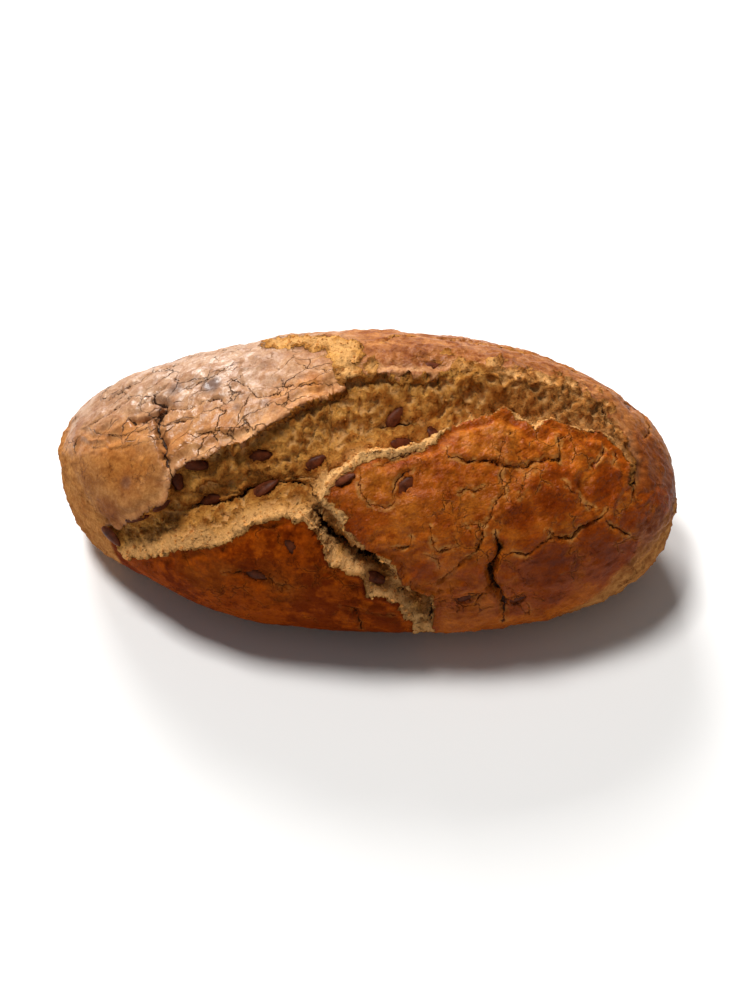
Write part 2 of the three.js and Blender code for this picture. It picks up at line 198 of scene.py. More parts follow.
# Patches of crust colour: (x, turn, reach, strength).
BROWN_PATCHES = (
    (36, 51, 7.5, 0.95), (30, 41, 5, 0.8), (44, 30, 6, 0.95), (36, 19, 10, 1.0), (28, 20, 5, 0.6),
    (48, 12, 9, 0.9), (50, 37, 4, 0.9), (42.8, 66, 2.6, 0.9), (57, 58, 6, 0.9), (25, 31, 5, 0.5),
    (13, 18, 5, 0.8), (12, 31, 4, 0.4), (0, 35, 5, 0.7), (8, 58, 3, 0.7), (34, 4, 10, 0.8), (22, 17, 5, 0.6),
    (17, 47, 2, 0.6), (16, 38, 3, 0.5), (20, 6, 6, 0.5), (4, 40, 4, 0.5), (49, 60, 4, 0.4), (45, 48, 4, 0.5),
    (24, 52, 3, 0.35), (19, 58, 3, 0.3), (46, 58, 5, 0.8), (33, 30, 4, 0.5), (41, 40, 4, 0.5),
    (8, 25, 3, 0.5), (53, 45, 5, 0.6), (21, 33, 3, 0.5), (3, 58, 2.5, 0.5), (12, 48, 2.5, 0.4),
    (-11, 24, 5, 0.7), (-9, 31, 4, 0.7), (-28, 18, 6, 0.4), (-3, 9, 5, 0.6), (-20, -6, 13, 0.7),
    (-40, -4, 9, 0.9), (-18, 27, 4, 0.5), (-1, -4, 6, 0.6), (-44, 42, 3.5, 0.45), (-55, 74, 5, 0.6),
    (-51, 86, 6, 0.35), (-48, 20, 5.5, 1.0), (7, 106, 7, 0.6), (1, 103, 4, 0.4), (54, 95, 6, 0.5),
    (56, 72, 6, 0.8), (51, 88, 5, 0.4), (12, 110, 5, 0.5), (30, 112, 7, 0.5), (45, 104, 5, 0.4),
)
GOLD_PATCHES = (
    (25, 71, 6, 1.0), (20, 66, 4, 0.8), (17, 72, 3, 0.6), (4, 50, 5, 0.7), (47, 65, 4, 0.6),
    (40.5, 56, 2.4, 0.7), (33, 59, 4, 0.5), (-4, 40, 3, 0.7), (-27, 10, 8, 0.25), (-14, 9, 7, 0.2),
    (9, 40, 4, 0.5), (21, 45, 4, 0.4), (48, 47, 4, 0.6), (39, 38, 3, 0.5), (52, 20, 3, 0.4),
    (35, 68, 4, 0.5), (28, 80, 2.5, 0.5), (-10, 87, 4, 0.8), (-15, 84, 4, 0.4), (-34, 60, 4, 0.4),
    (-26, 72, 4, 0.3), (-45, 55, 8, 0.5),
)
STAINS = (
    (-36, 90, 2.3, 0.55), (-29, 89.5, 2.8, 0.75), (-18.6, 79, 1.5, 0.45), (-23.5, 77, 1.3, 0.4),
    (-44, 42, 1.8, 0.4),
)
# Where the crust is missing on top: (x, turn, reach).
BALD_PATCHES = (
    (-18.5, 118, 3), (-14.5, 115.5, 3.4), (-9.5, 113, 3.6), (-5.5, 108, 3.8), (-4, 101, 3), (-3.4, 95, 2.6),
    (18, 99, 2.2), (17.5, 104, 1.8), (18.5, 94, 2.6), (23, 107, 2), (27, 101.5, 3), (0.5, 98, 1.6),
    (33, 105, 2.4), (38, 110, 2.2),
)

SEED_NODES = sorted(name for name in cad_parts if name.startswith("flax_seed"))
# How deep each seed has sunk in the bread, in mm, filled in when the loaf is made.
SUNK = {}
# Rounding draws a seed in a little, so it is made this much larger first.
SEED_SWELL = 1.07
# The share of its size by which a loose crumb is sunk in the bread, and where its draws start.
CRUMB_SUNK = 0.05
CRUMB_DRAWS = 5

# How far the long axis lies from the middle of the loaf's width, in metres.
AXIS_Y = (max(FRONT_REACH) - max(BACK_REACH)) / 2 * MM
# The camera looks a little to the right of the loaf's middle and below it, all in mm.
LOOK_HEIGHT = 20
LOOK_RIGHT = 1.66
LOOK_DOWN = 5.4
LIGHTS_AIM = (0, 0, 0.02)


# --- Randomness that is the same each time ------------------------------------------------------
def lattice_bits(cell, seed):
    """A scrambled 32-bit number for each whole-numbered lattice place."""
    cell = cell.astype(np.uint32)
    bits = cell[..., 0] * np.uint32(0x8DA6B343)
    bits ^= cell[..., 1] * np.uint32(0xD8163841)
    bits ^= cell[..., 2] * np.uint32(0xCB1AB31F)
    bits ^= np.uint32((seed * 0x9E3779B9) & 0xFFFFFFFF)
    for shift, factor in ((15, 0x2C1B3C6D), (12, 0x297A2D39), (15, 0x9E3779B1)):
        bits ^= bits >> np.uint32(shift)
        bits *= np.uint32(factor)
    return bits ^ (bits >> np.uint32(16))


def three_draws(bits):
    """Three whole numbers from 0 to 1023 out of each scrambled number."""
    return np.stack([(bits >> np.uint32(shift)) & np.uint32(1023) for shift in (0, 10, 20)], -1)


def noise(points, size, seed=0):
    """Smooth noise between about -1 and 1, its bumps about this size."""
    place = points / size
    cell = np.floor(place).astype(np.int64)
    inside = place - cell
    fade = inside**3 * (inside * (inside * 6 - 15) + 10)
    total = np.zeros(len(points))
    for corner in product((0, 1), repeat=3):
        slope = three_draws(lattice_bits(cell + np.array(corner), seed)) / 511.5 - 1
        weight = np.prod(np.where(corner, fade, 1 - fade), axis=-1)
        total += weight * np.sum(slope * (inside - np.array(corner)), axis=-1)
    return total * 1.4


def cells(points, size, seed=0):
    """Distances to the nearest and the next of scattered spots, and the nearest one's random number."""
    place = points / size
    home = np.floor(place).astype(np.int64)
    nearest = np.full(len(points), 9.0)
    second = np.full(len(points), 9.0)
    lot = np.zeros(len(points))
    for step in product((-1, 0, 1), repeat=3):
        cell = home + np.array(step)
        jitter = three_draws(lattice_bits(cell, seed)) / 1023
        distance = np.linalg.norm(cell + jitter - place, axis=-1)
        closer = distance < nearest
        second = np.where(closer, nearest, np.minimum(second, distance))
        lot = np.where(closer, lattice_bits(cell, seed + 7) / 2**32, lot)
        nearest = np.where(closer, distance, nearest)
    return nearest, second, lot


def noises(points, size, *seeds):
    """A direction of noise: one draw for each of the three ways."""
    return np.stack([noise(points, size, seed) for seed in seeds], -1)


def ragged(points, seed):
    """Ragged noise of three sizes."""
    return (
        0.8 * noise(points, 5, seed)
        + 0.6 * noise(points, 1.9, seed + 1)
        + 0.3 * noise(points, 0.9, seed + 2)
    )


def ramp(value, low, high):
    """0 below low, 1 above high, smooth between."""
    share = np.clip((value - low) / (high - low), 0, 1)
    return share * share * (3 - 2 * share)


def bump(value, middle, reach):
    """1 at the middle, 0 a reach away from it."""
    return 1 - ramp(np.abs(value - middle), 0, reach)


def hump(value, middle, spread):
    """A bell-shaped hump, 1 at the middle."""
    return np.exp(-(((value - middle) / spread) ** 2))


def mixed(first, second, share):
    """Between the first and the second, by each place's share of the second."""
    return first + (np.asarray(second) - first) * share[:, None]


# --- The loaf's skin ----------------------------------------------------------------------------
def spline(values, share):
    """A smooth curve through values at equal steps, where share runs from 0 to 1."""
    values = np.asarray(values, float)
    last = len(values) - 1
    index = np.minimum((share * last).astype(int), last - 1)
    part = share * last - index
    before, start = values[np.maximum(index - 1, 0)], values[index]
    end, after = values[index + 1], values[np.minimum(index + 2, last)]
    leave, arrive = (end - before) / 2, (after - start) / 2
    return (
        (2 * start - 2 * end + leave + arrive) * part**3
        + (3 * end - 3 * start - 2 * leave - arrive) * part**2
        + leave * part
        + start
    )


def reach_at(x, turn):
    """How far the whole crust is from the long axis."""
    share = np.arccos(np.clip(-2 * x / LENGTH, -1, 1)) / math.pi
    cap = np.maximum(np.sin(math.pi * share), 1e-6) ** END_BLUNTNESS
    across, up = np.cos(np.radians(turn)), np.sin(np.radians(turn))
    side = np.where(across > 0, spline(FRONT_REACH, share), spline(BACK_REACH, share)) * cap
    height = np.where(up > 0, spline(CROWN_REACH, share) * cap, UNDER_REACH * np.sqrt(cap))
    return (np.abs(across / side) ** SQUARENESS + np.abs(up / height) ** SQUARENESS) ** (-1 / SQUARENESS)


def point_at(x, turn, depth=0.0):
    """The point this far below the whole crust, before the sole is cut flat."""
    reach = np.maximum(reach_at(x, turn) - depth, 0.0)
    angle = np.radians(turn)
    return np.stack([x + 0 * reach, -reach * np.cos(angle), AXIS_HEIGHT + reach * np.sin(angle)], -1)


def from_spot(points, x, turn):
    """How far each point is from one spot of the crust."""
    return np.linalg.norm(points - point_at(np.array([float(x)]), np.array([float(turn)])), axis=1)


def line_on_crust(places):
    """The points of a list of places, whose depths are left out."""
    places = np.array([place[:2] for place in places], float)
    return point_at(places[:, 0], places[:, 1])


def nearest_on(line, points):
    """Distance to a line of points, where on it the nearest place is in steps, and the way there."""
    best = np.full(len(points), 1e9)
    where = np.zeros(len(points))
    offset = np.zeros_like(points)
    for index, (start, end) in enumerate(zip(line[:-1], line[1:])):
        along = end - start
        share = np.clip((points - start) @ along / (along @ along), 0, 1)
        away = points - start - share[:, None] * along
        distance = np.linalg.norm(away, axis=1)
        closer = distance < best
        best[closer] = distance[closer]
        where[closer] = index + share[closer]
        offset[closer] = away[closer]
    return best, where, offset


def is_inside(outline, x, turn):
    """Which places lie inside a closed outline of places."""
    inside = np.zeros(len(x), bool)
    for (x1, turn1), (x2, turn2) in zip(outline, outline[1:] + outline[:1]):
        crosses = (turn1 > turn) != (turn2 > turn)
        inside ^= crosses & (x < x1 + (turn - turn1) / (turn2 - turn1 + 1e-12) * (x2 - x1))
    return inside


TORN_OUTLINE = BACK_PLATE_EDGE + RIGHT_PLATE_EDGE[::-1] + LEFT_PLATE_EDGE[::-1]
OPEN_ENDS = ((BACK_PLATE_EDGE[0], LEFT_PLATE_EDGE[0]), (LEFT_PLATE_EDGE[-1], RIGHT_PLATE_EDGE[0]))


def torn(x, turn):
    """How each place lies to the torn split: its depth, and its distance in from each plate's edge."""
    points = point_at(x, turn)
    inside = is_inside(TORN_OUTLINE, x, turn)
    edges = [
        nearest_on(line_on_crust(edge), points)
        for edge in (BACK_PLATE_EDGE, LEFT_PLATE_EDGE, RIGHT_PLATE_EDGE)
    ]
    distances = np.stack([distance for distance, _, _ in edges])
    ways = np.stack([way for _, _, way in edges])
    nearest = distances.argmin(axis=0)
    to_edge = distances.min(axis=0)
    way = ways[nearest, np.arange(len(x))]
    to_open_end = np.min([nearest_on(line_on_crust(end), points)[0] for end in OPEN_ENDS], axis=0)
    depth = np.zeros(len(x))
    for floor in (SPLIT_FLOOR, TEAR_FLOOR):
        distance, step, _ = nearest_on(line_on_crust(floor), points)
        most = np.interp(step, np.arange(len(floor)), [place[2] for place in floor])
        share = to_edge / (to_edge + distance + 1e-6)
        depth = np.maximum(depth, CRUST_STEP + (most - CRUST_STEP) * share**WALL_CURVE)
    fade = ramp(to_open_end, 0, OPEN_END_FADE)
    signed = np.where(inside, to_edge, -to_edge)
    return {
        "depth": np.where(inside, depth * fade * ramp(to_edge, -STEP_WIDTH, STEP_WIDTH), 0.0),
        "signed": signed,
        "to_back": distances[0],
        "to_left": distances[1],
        "to_right": distances[2],
        "inward": np.where(inside, 1, -1)[:, None] * way / np.maximum(to_edge, 1e-6)[:, None],
        "fade": fade,
    }


def cracked(points, normals, cracks):
    """The cracks' depth, the lift of the crust beside them, and where their dark lines of painted shade run.
    """
    depth = np.zeros(len(points))
    lift = np.zeros(len(points))
    near = np.full(len(points), 5.0)
    side = np.full(len(points), 5.0)
    width = np.full(len(points), 0.1)
    for half_width, deepest, raised, places in cracks:
        line = line_on_crust(places)
        distance, step, offset = nearest_on(line, points)
        index = np.minimum(step.astype(int), len(line) - 2)
        ahead = np.diff(line, axis=0)[index]
        left_hand = np.sum(np.cross(normals, ahead) * offset, axis=1) > 0
        share = step / (len(line) - 1)
        pinch = ramp(share, -0.02, 0.2) * ramp(1 - share, -0.02, 0.2)
        profile = np.clip(1 - distance / (half_width * (0.45 + 0.55 * pinch)), 0, 1) ** 0.8
        depth = np.maximum(depth, deepest * pinch * profile)
        raised_side = left_hand if raised > 0 else ~left_hand
        lift += np.where(raised_side, abs(raised) * pinch * np.exp(-distance / 2.2), 0)
        closer = distance < near
        near = np.where(closer, distance, near)
        side = np.where(closer, np.where(left_hand, distance, -distance), side)
        # Width of the dark line of painted shade drawn along the crack.
        dark_width = (half_width * (0.06 + 0.15 * deepest) + 0.02) * (deepest > 0) * (0.25 + 0.75 * pinch)
        width = np.where(closer, dark_width, width)
    return depth, lift, near, side, width


def finer(cracks, narrower, lower):
    """The same cracks, but narrower, shallower and with less lift unless they are deep ones."""
    return tuple(
        crack if crack[1] > 1.5 else (crack[0] * narrower, crack[1] * narrower, crack[2] * lower, crack[3])
        for crack in cracks
    )


def patched(points, patches):
    """How strongly places are covered by soft, uneven patches."""
    strength = np.zeros(len(points))
    uneven = 1 + 0.35 * noise(points, 3.2, 81) + 0.2 * noise(points, 1.3, 82)
    for x, turn, reach, most in patches:
        distance = from_spot(points, x, turn) * uneven
        strength = np.maximum(strength, most * (1 - ramp(distance, 0.35 * reach, reach)))
    return strength


def lumpy(points, size, seed):
    """Lumps with flat tops and creases between them, from -0.5 to 0.5."""
    warp = noises(points, size * 0.8, seed + 1, seed + 2, seed + 3) * size * 0.35
    nearest, second, lot = cells(points + warp, size, seed)
    crease = second - nearest
    return (lot - 0.5) * ramp(crease, 0.02, 0.3) - 0.25 * (1 - ramp(crease, 0, 0.12))


def front_dent(x, turn):
    """The shallow hollows low on the front, towards the left end."""
    low = 1.5 * bump(x, -38, 20) * bump(turn, -28, 34)
    return low + 2.0 * bump(x, -52, 16) * bump(turn, 12, 45)


class Skin:
    """The loaf's grid of vertices: rings along the loaf, steps round it, and what each place is like."""

    def __init__(self, settings):
        self.rings, self.around = settings.rings, settings.around
        self.x = self.ring_places()
        self.turn = self.step_turns()
        self.x_all = np.repeat(self.x, self.around)
        self.turn_all = self.turn.ravel()

    def ring_places(self):
        """Where the rings are: evenly along the crown line, a little closer in the middle."""
        angle = np.linspace(0, math.pi, 4001)
        x = -LENGTH / 2 * np.cos(angle)
        reach = reach_at(x, np.full_like(x, 60.0))
        pace = np.hypot(np.diff(x), np.diff(reach)) / (1 + 0.6 * ramp(np.abs(x[1:]), 46, 58))
        travelled = np.concatenate([[0], np.cumsum(pace)])
        wanted = np.linspace(0, travelled[-1], self.rings + 1)[1:-1]
        return np.interp(wanted, travelled, x)

    def step_turns(self):
        """The turns of each ring's vertices: closest over the torn top and front."""
        turns = np.linspace(-90, 270, 1201)
        x, turn = np.meshgrid(self.x, turns, indexing="ij")
        depth = torn(x.ravel(), turn.ravel())["depth"].reshape(x.shape)
        reach = reach_at(x, turn) - depth
        mean_turn = np.radians((turn[:, 1:] + turn[:, :-1]) / 2)
        mean_reach = (reach[:, 1:] + reach[:, :-1]) / 2
        pace = np.hypot(np.diff(reach, axis=1), mean_reach * math.radians(turns[1] - turns[0]))
        busy = ramp(np.degrees(mean_turn), -40, -22) * (1 - ramp(np.degrees(mean_turn), 125, 165))
        pace = pace / (0.4 + 1.0 * (1 - busy))
        travelled = np.concatenate([np.zeros((len(self.x), 1)), np.cumsum(pace, axis=1)], axis=1)
        wanted = np.arange(self.around) / self.around
        rows = [np.interp(wanted * way[-1], way, turns) for way in travelled]
        return np.array(rows)

    def grid(self, values):
        return values.reshape(self.rings - 1, self.around, *values.shape[1:])

    def normals(self, points):
        """Outward normals of the grid of points."""
        grid = self.grid(points)
        along = np.gradient(grid, axis=0)
        round_ = np.roll(grid, -1, axis=1) - np.roll(grid, 1, axis=1)
        normal = np.cross(round_, along).reshape(-1, 3)
        return normal / np.maximum(np.linalg.norm(normal, axis=1), 1e-9)[:, None]

    def smoothed(self, values, passes):
        """Values of the grid, each drawn towards its four neighbours so many times."""
        grid = self.grid(values)
        for _ in range(passes):
            sides = np.roll(grid, 1, axis=1) + np.roll(grid, -1, axis=1)
            ends = np.concatenate([grid[:1], grid[:-1]]) + np.concatenate([grid[1:], grid[-1:]])
            grid = (sides + ends) / 4
        return grid.reshape(values.shape)


def seed_frames():
    """Each flax seed's middle, its long, wide and thin directions and their half sizes, in mm."""
    frames = []
    for name in SEED_NODES:
        corners = np.array([v.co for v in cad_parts[name].data.vertices]) / MM
        low, high = corners.min(axis=0), corners.max(axis=0)
        middle = (low + high) / 2
        spread, axes = np.linalg.eigh(np.cov((corners - middle).T))
        thin, wide, long = axes.T
        outward = middle - np.array([middle[0], 0, AXIS_HEIGHT])
        thin = thin * np.sign(thin @ outward)
        half = [np.abs((corners - middle) @ axis).max() for axis in (long, wide, thin)]
        frames.append((middle, np.array([long, wide, thin]), np.array(half)))
    return frames


def distance_to_seeds(points, frames):
    """How far each point is from the nearest seed's side."""
    nearest = np.full(len(points), 9.0)
    for middle, axes, half in frames:
        local = (points - middle) @ axes.T
        local[:, 0] -= np.clip(local[:, 0], -0.62 * half[0], 0.62 * half[0])
        nearest = np.minimum(nearest, np.linalg.norm(local, axis=1) - half[1])
    return nearest


def bedded(points, frames, seed_open):
    """Opens the bread over the seeds: points over a seed's open part go down beside it."""
    points = points.copy()
    ragged = 0.3 * noise(points, 1.3, 91) + 0.14 * noise(points, 0.6, 92)
    for (middle, axes, half), (open_share, sunk) in zip(frames, seed_open):
        local = (points - middle) @ axes.T
        edge = (local[:, 0] / half[0]) ** 2 + (local[:, 1] / half[1]) ** 2
        bowl = -sunk - 0.15 - half[2] * np.sqrt(np.clip(1 - edge, 0, 1))
        hit = (edge < open_share + ragged) & (local[:, 2] > bowl) & (local[:, 2] < 4)
        local[hit, 2] = bowl[hit]
        points[hit] = local[hit] @ axes + middle
    return points


def seed_beds(frames):
    """How much of each seed shows and how deep it has sunk: less and deeper in the crust."""
    beds = []
    for middle, _, _ in frames:
        turn = math.degrees(math.atan2(middle[2] - AXIS_HEIGHT, -middle[1]))
        signed = torn(np.array([middle[0]]), np.array([turn]))["signed"][0]
        beds.append(SEEDS_IN_CRUMB if signed > DEEP_IN_CRUMB else SEEDS_IN_CRUST)
    return beds


def read_places(at):
    """The edges of the tears are ragged: places are read a little to one side of where they are."""
    x, turn, flat = at.x, at.turn, at.flat
    at.calm = ramp(at.to_seed, 0.2, 2.2)
    per_mm = np.degrees(1 / np.maximum(reach_at(x, turn), 3))
    rough_edge = 1 + 0.9 * ramp(x, -6, 6) * ramp(turn, 80, 92)
    at.x_read = x + at.calm * (rough_edge * ragged(flat, 1))
    at.turn_read = turn + at.calm * (rough_edge * ragged(flat, 4)) * per_mm
    at.tear = torn(at.x_read, at.turn_read)
    at.signed = at.tear["signed"]
    at.torn_field = np.minimum(at.signed, (at.tear["fade"] - 0.12) * 4)
    soft_x = x + at.calm * rough_edge * 0.8 * noise(flat, 5, 1)
    soft_turn = turn + at.calm * rough_edge * 0.8 * noise(flat, 5, 4) * per_mm
    at.torn_depth = 0.35 * at.tear["depth"] + 0.65 * torn(soft_x, soft_turn)["depth"]


def sink(at):
    """How deep each place lies under the whole crust: in a tear, in a crack or in a dent."""
    tear, signed = at.tear, at.signed
    at.crust_normal = at.skin.normals(at.flat)
    wiggle = noises(at.flat, 1.7, 11, 12, 13) * 0.4 + noises(at.flat, 0.85, 17, 18, 19) * 0.32
    at.read_points = at.flat + wiggle + noises(at.flat, 4.5, 14, 15, 16) * 0.35
    cracks = finer(TOP_CRACKS, 0.7, 0.45) + finer(FRONT_CRACKS, 0.78, 1.0) + BACK_CRACKS + GAPS
    found = cracked(at.read_points, at.crust_normal, cracks)
    crack_depth, at.lift, at.near, at.side_of, at.dark_width = found
    nearer_back = ramp(tear["to_right"] - tear["to_back"], -2, 4)
    at.soft_back = ramp(at.x_read, 11, 19) * (at.turn_read > 74) * nearer_back
    at.gentle = ramp(tear["to_back"] - np.minimum(tear["to_left"], tear["to_right"]), 0, 3)
    at.torn_depth *= 1 - 0.75 * at.soft_back * (1 - ramp(signed, -1, 5))
    at.torn_depth *= 1 - 0.5 * at.gentle * (1 - ramp(signed, -0.5, 2.5))
    shallow = 1 - 0.35 * ramp(at.x_read, 12, 30) * at.calm
    at.depth = at.torn_depth * shallow + crack_depth * (0.4 + 0.6 * at.calm) + front_dent(at.x, at.turn)


def tell_crusts(at):
    """Which part of the crust each place is on."""
    x, flat, x_read, turn_read = at.x, at.flat, at.x_read, at.turn_read
    behind = ramp(turn_read - np.interp(x_read, *zip(*BACK_PLATE_EDGE[:-2])), -3, 3)
    at.behind = np.where(x_read > 50, ramp(turn_read, 50, 75), behind)
    down_front = TEAR_FLOOR[::-1]
    tear_x = np.interp(turn_read, [place[1] for place in down_front], [place[0] for place in down_front])
    at.right_front = ramp(x_read - tear_x, -2, 2) * (1 - at.behind)
    at.left_front = (1 - at.behind) * (1 - at.right_front)
    at.far_back = ramp(turn_read + 6 * noise(flat, 9, 30), 122, 150)
    at.low_left = (
        at.behind * (1 - ramp(x_read, -38, -34)) * (1 - ramp(turn_read + 3 * noise(flat, 3, 36), 52, 66))
    )
    at.top_left = (
        at.behind * (1 - ramp(x_read + 3 * noise(flat, 5, 35), -14, 2)) * (1 - 0.75 * at.far_back)
        * (1 - at.low_left)
    )
    at.top_right = at.behind * (1 - at.top_left) * (1 - at.low_left)
    glazed_end = at.left_front * ramp(x, -49, -45)
    low_limit = 7.5 - 5.5 * glazed_end - 3.5 * at.right_front * (1 - ramp(x, 30, 45))
    low_limit += (14 * ramp(np.abs(x), 34, 58) + 4.5 * ramp(-x, 42, 50)) * (1 - glazed_end)
    low_limit += 1.6 * noise(flat, 6, 31) + 0.9 * noise(flat, 2, 32)
    at.side = 1 - ramp(flat[:, 2], low_limit - 2.5, low_limit + 2.5)


def tell_crumb(at):
    """Where the crust is gone, as a distance in from its edge, and how sandy or toasted the crumb is."""
    flat, signed, tear, behind = at.flat, at.signed, at.tear, at.behind
    x_read, turn_read = at.x_read, at.turn_read
    bald = np.full(len(flat), -BARE_REACH)
    for x, turn, reach in BALD_PATCHES:
        bald = np.maximum(bald, (reach - from_spot(flat, x, turn)) * 0.7)
    bald += 1.0 * noise(flat, 3, 34) + 0.7 * noise(flat, 1.3, 37)
    band = behind * ramp(x_read, 8, 16) * (1 - ramp(x_read, 44, 50)) > 0.5
    crumbly = 2.2 * noise(flat, 3.2, 33) + 1.4 * noise(flat, 1.4, 38) + (signed + 3.2) * 0.35 - 0.2
    bare = np.maximum(at.torn_field, np.where(behind > 0.5, bald, -BARE_REACH))
    bare = np.maximum(bare, np.where(band & (signed > -8), crumbly, -BARE_REACH))
    on_right = (tear["to_right"] < tear["to_left"]) & (turn_read > 34)
    in_tear = ramp(x_read, -11, -7) * (1 - ramp(turn_read, 32, 38))
    right_rim = 1.7 * bump(x_read, 4, 16) ** 0.5
    left_rim = 0.8 * (1 - behind) * ramp(x_read, -46, -38)
    rim = signed + np.where(on_right, right_rim, left_rim) * (1 - in_tear)
    rim += 0.5 * noise(flat, 1.3, 39) - 0.2
    on_rim = (signed > -4) & (tear["to_back"] > tear["to_right"].clip(0, 4))
    at.bare = np.clip(np.maximum(bare, np.where(on_rim, rim, -BARE_REACH)), -BARE_REACH, BARE_REACH)
    at.crumb, at.loose = ramp(at.torn_field, -0.2, 0.5), ramp(at.bare, -0.3, 0.5)

    toasted = ramp(x_read, 16, 34) * (0.6 + 0.4 * ramp(turn_read, 80, 95)) + 0.5 * (band & (signed < 0.5))
    toasted = np.clip(toasted, 0, 1) * ramp(turn_read, 55, 66)
    at.toasted = np.maximum(toasted, 0.7 * (1 - ramp(turn_read, 2, 18)) * (x_read > 0))
    to_front_rim = np.minimum(tear["to_right"], tear["to_left"] * 1.2) + 0.8 * noise(flat, 2.4, 46)
    sandy = at.loose * (1 - ramp(to_front_rim, 0.8, 3.8)) * ramp(tear["to_back"], 1.2, 3)
    sandy *= 1 - 0.25 * (1 - on_right) * (1 - ramp(x_read, -12, -6))
    at.sandy = np.maximum(sandy, 0.75 * at.loose * ramp(bald, -0.2, 1.2) * (signed < 0))
    at.on_right = on_right


def swollen(at):
    """The skin with its large swellings, and the torn edges curled up and leaning over the split."""
    tear, signed, calm, soft_back = at.tear, at.signed, at.calm, at.soft_back
    swell = 0.45 * noise(at.flat, 17, 21) + 0.25 * noise(at.flat, 7, 22)
    for x, turn, reach, height in LUMPS:
        swell += height * (1 - ramp(from_spot(at.read_points, x, turn), 0.2 * reach, reach))
    curl = 0.6 * hump(signed, -1.3, 1.0) * tear["fade"] * (1 - 0.8 * soft_back)
    lean = 0.7 * (1 - 0.9 * soft_back) * (1 - 0.6 * at.gentle) * hump(signed, -0.1, 0.6)
    lean -= (1 - soft_back) * (1 - 0.8 * at.gentle) * hump(signed, 1.7, 0.9)
    collar = 0.42 * hump(at.to_seed, 0.1, 0.8) * (1 + 0.7 * noise(at.flat, 1.6, 23))
    rise = (swell + curl + at.lift * (1 - at.crumb)) * (0.4 + 0.6 * calm) + collar
    points = point_at(at.x, at.turn, at.depth) + at.crust_normal * rise[:, None]
    return points + tear["inward"] * (lean * tear["fade"] * (0.3 + 0.7 * calm))[:, None]


def crumb_relief(at, points):
    """Lumps, bubbles and grains of the torn crumb."""
    loose, sandy, free = at.loose, at.sandy, 0.35 + 0.65 * at.calm
    solid = points + noises(points, 1.9, 24, 25, 26) * (0.45 * loose)[:, None]
    first, _, lot = cells(solid, 3.0, 44)
    bubble = np.where(lot > 0.35, np.clip(1 - first / (0.16 + 0.3 * lot), 0, 1) ** 0.6, 0) * (0.5 + lot)
    grain, _, _ = cells(solid, 1.15, 45)
    relief = 1.7 * lumpy(solid, 4.2, 47) + 1.25 * lumpy(solid, 2.0, 48) + 0.4 * noise(solid, 3.2, 51)
    relief += 0.6 * noise(solid, 1.5, 52) + 0.45 * noise(solid, 0.8, 53)
    relief *= loose * free * (1 - 0.55 * sandy)
    relief -= 0.9 * bubble * at.crumb * at.calm * (1 - sandy)
    return relief + 0.6 * (0.55 - grain) * np.clip(sandy + 0.7 * loose * at.toasted, 0, 1) * free


def crust_relief(at):
    """The crust's waves, lumps, slanting ripples and wrinkles."""
    flat, free, x = at.flat, 0.35 + 0.65 * at.calm, at.x
    arc = np.radians(at.turn) * MEAN_REACH
    slanting = np.stack([(0.8 * x + 0.6 * arc) / 2.4, -0.6 * x + 0.8 * arc, 0 * x], -1)
    slanting[:, :2] += noises(flat, 3.5, 41, 42) * 0.8
    wrinkles = 1 - np.abs(noise(flat * np.array([1, 1, 2.2]), 5.0, 58))
    not_low_left = at.behind * (1 - at.low_left)
    uneven = 0.12 * noise(flat, 2.6, 54) + 0.08 * noise(flat, 1.1, 55)
    relief = (1 + 1.4 * at.top_right + 0.9 * at.right_front) * uneven
    relief += lumpy(at.read_points, 7.5, 59) * (0.7 * at.right_front + 0.25 * not_low_left) * free
    relief += 0.3 * lumpy(at.read_points, 3.4, 66) * (at.right_front + 0.5 * not_low_left) * free
    ripples = 0.5 * noise(slanting, 3.4, 43) + 0.12 * noise(slanting, 1.5, 49)
    relief += at.top_left * (ramp(x, -57, -49) * ripples + 0.75 * lumpy(at.read_points, 6.5, 60))
    relief += at.side * (0.3 * noise(flat, 1.6, 56) + 0.2 * noise(flat, 0.8, 57))
    relief += 0.2 * (wrinkles**3 - 0.4) * at.right_front
    return relief * (1 - at.loose)


def shade_hollows(at, points, normal):
    """Painted shade in the hollows and round each seed, and painted highlights where the loose crumb stands
    out.
    """
    hollow = np.sum((at.skin.smoothed(points, 8) - points) * normal, axis=1)
    # Painted shade in the skin's hollows, weaker on the gentle torn walls and on the sandy right rims.
    cavity = ramp(hollow, -0.05, 0.45) * (1 - 0.6 * at.gentle * at.loose * (1 - ramp(at.signed, 1.5, 3)))
    cavity *= 1 - 0.8 * at.sandy * at.on_right
    # Darker crumb towards the right end of the split.
    cavity = np.maximum(cavity, 0.6 * ramp(at.x_read, 37, 44) * at.loose * (at.turn_read < 95))
    # A dark ring round each seed: a painted contact shadow.
    at.cavity = np.maximum(cavity, 0.8 * hump(np.maximum(at.to_seed, 0), 0, 0.4))
    # Painted highlight where the loose crumb stands out.
    at.proud = ramp(-hollow, 0.05, 0.5) * at.loose


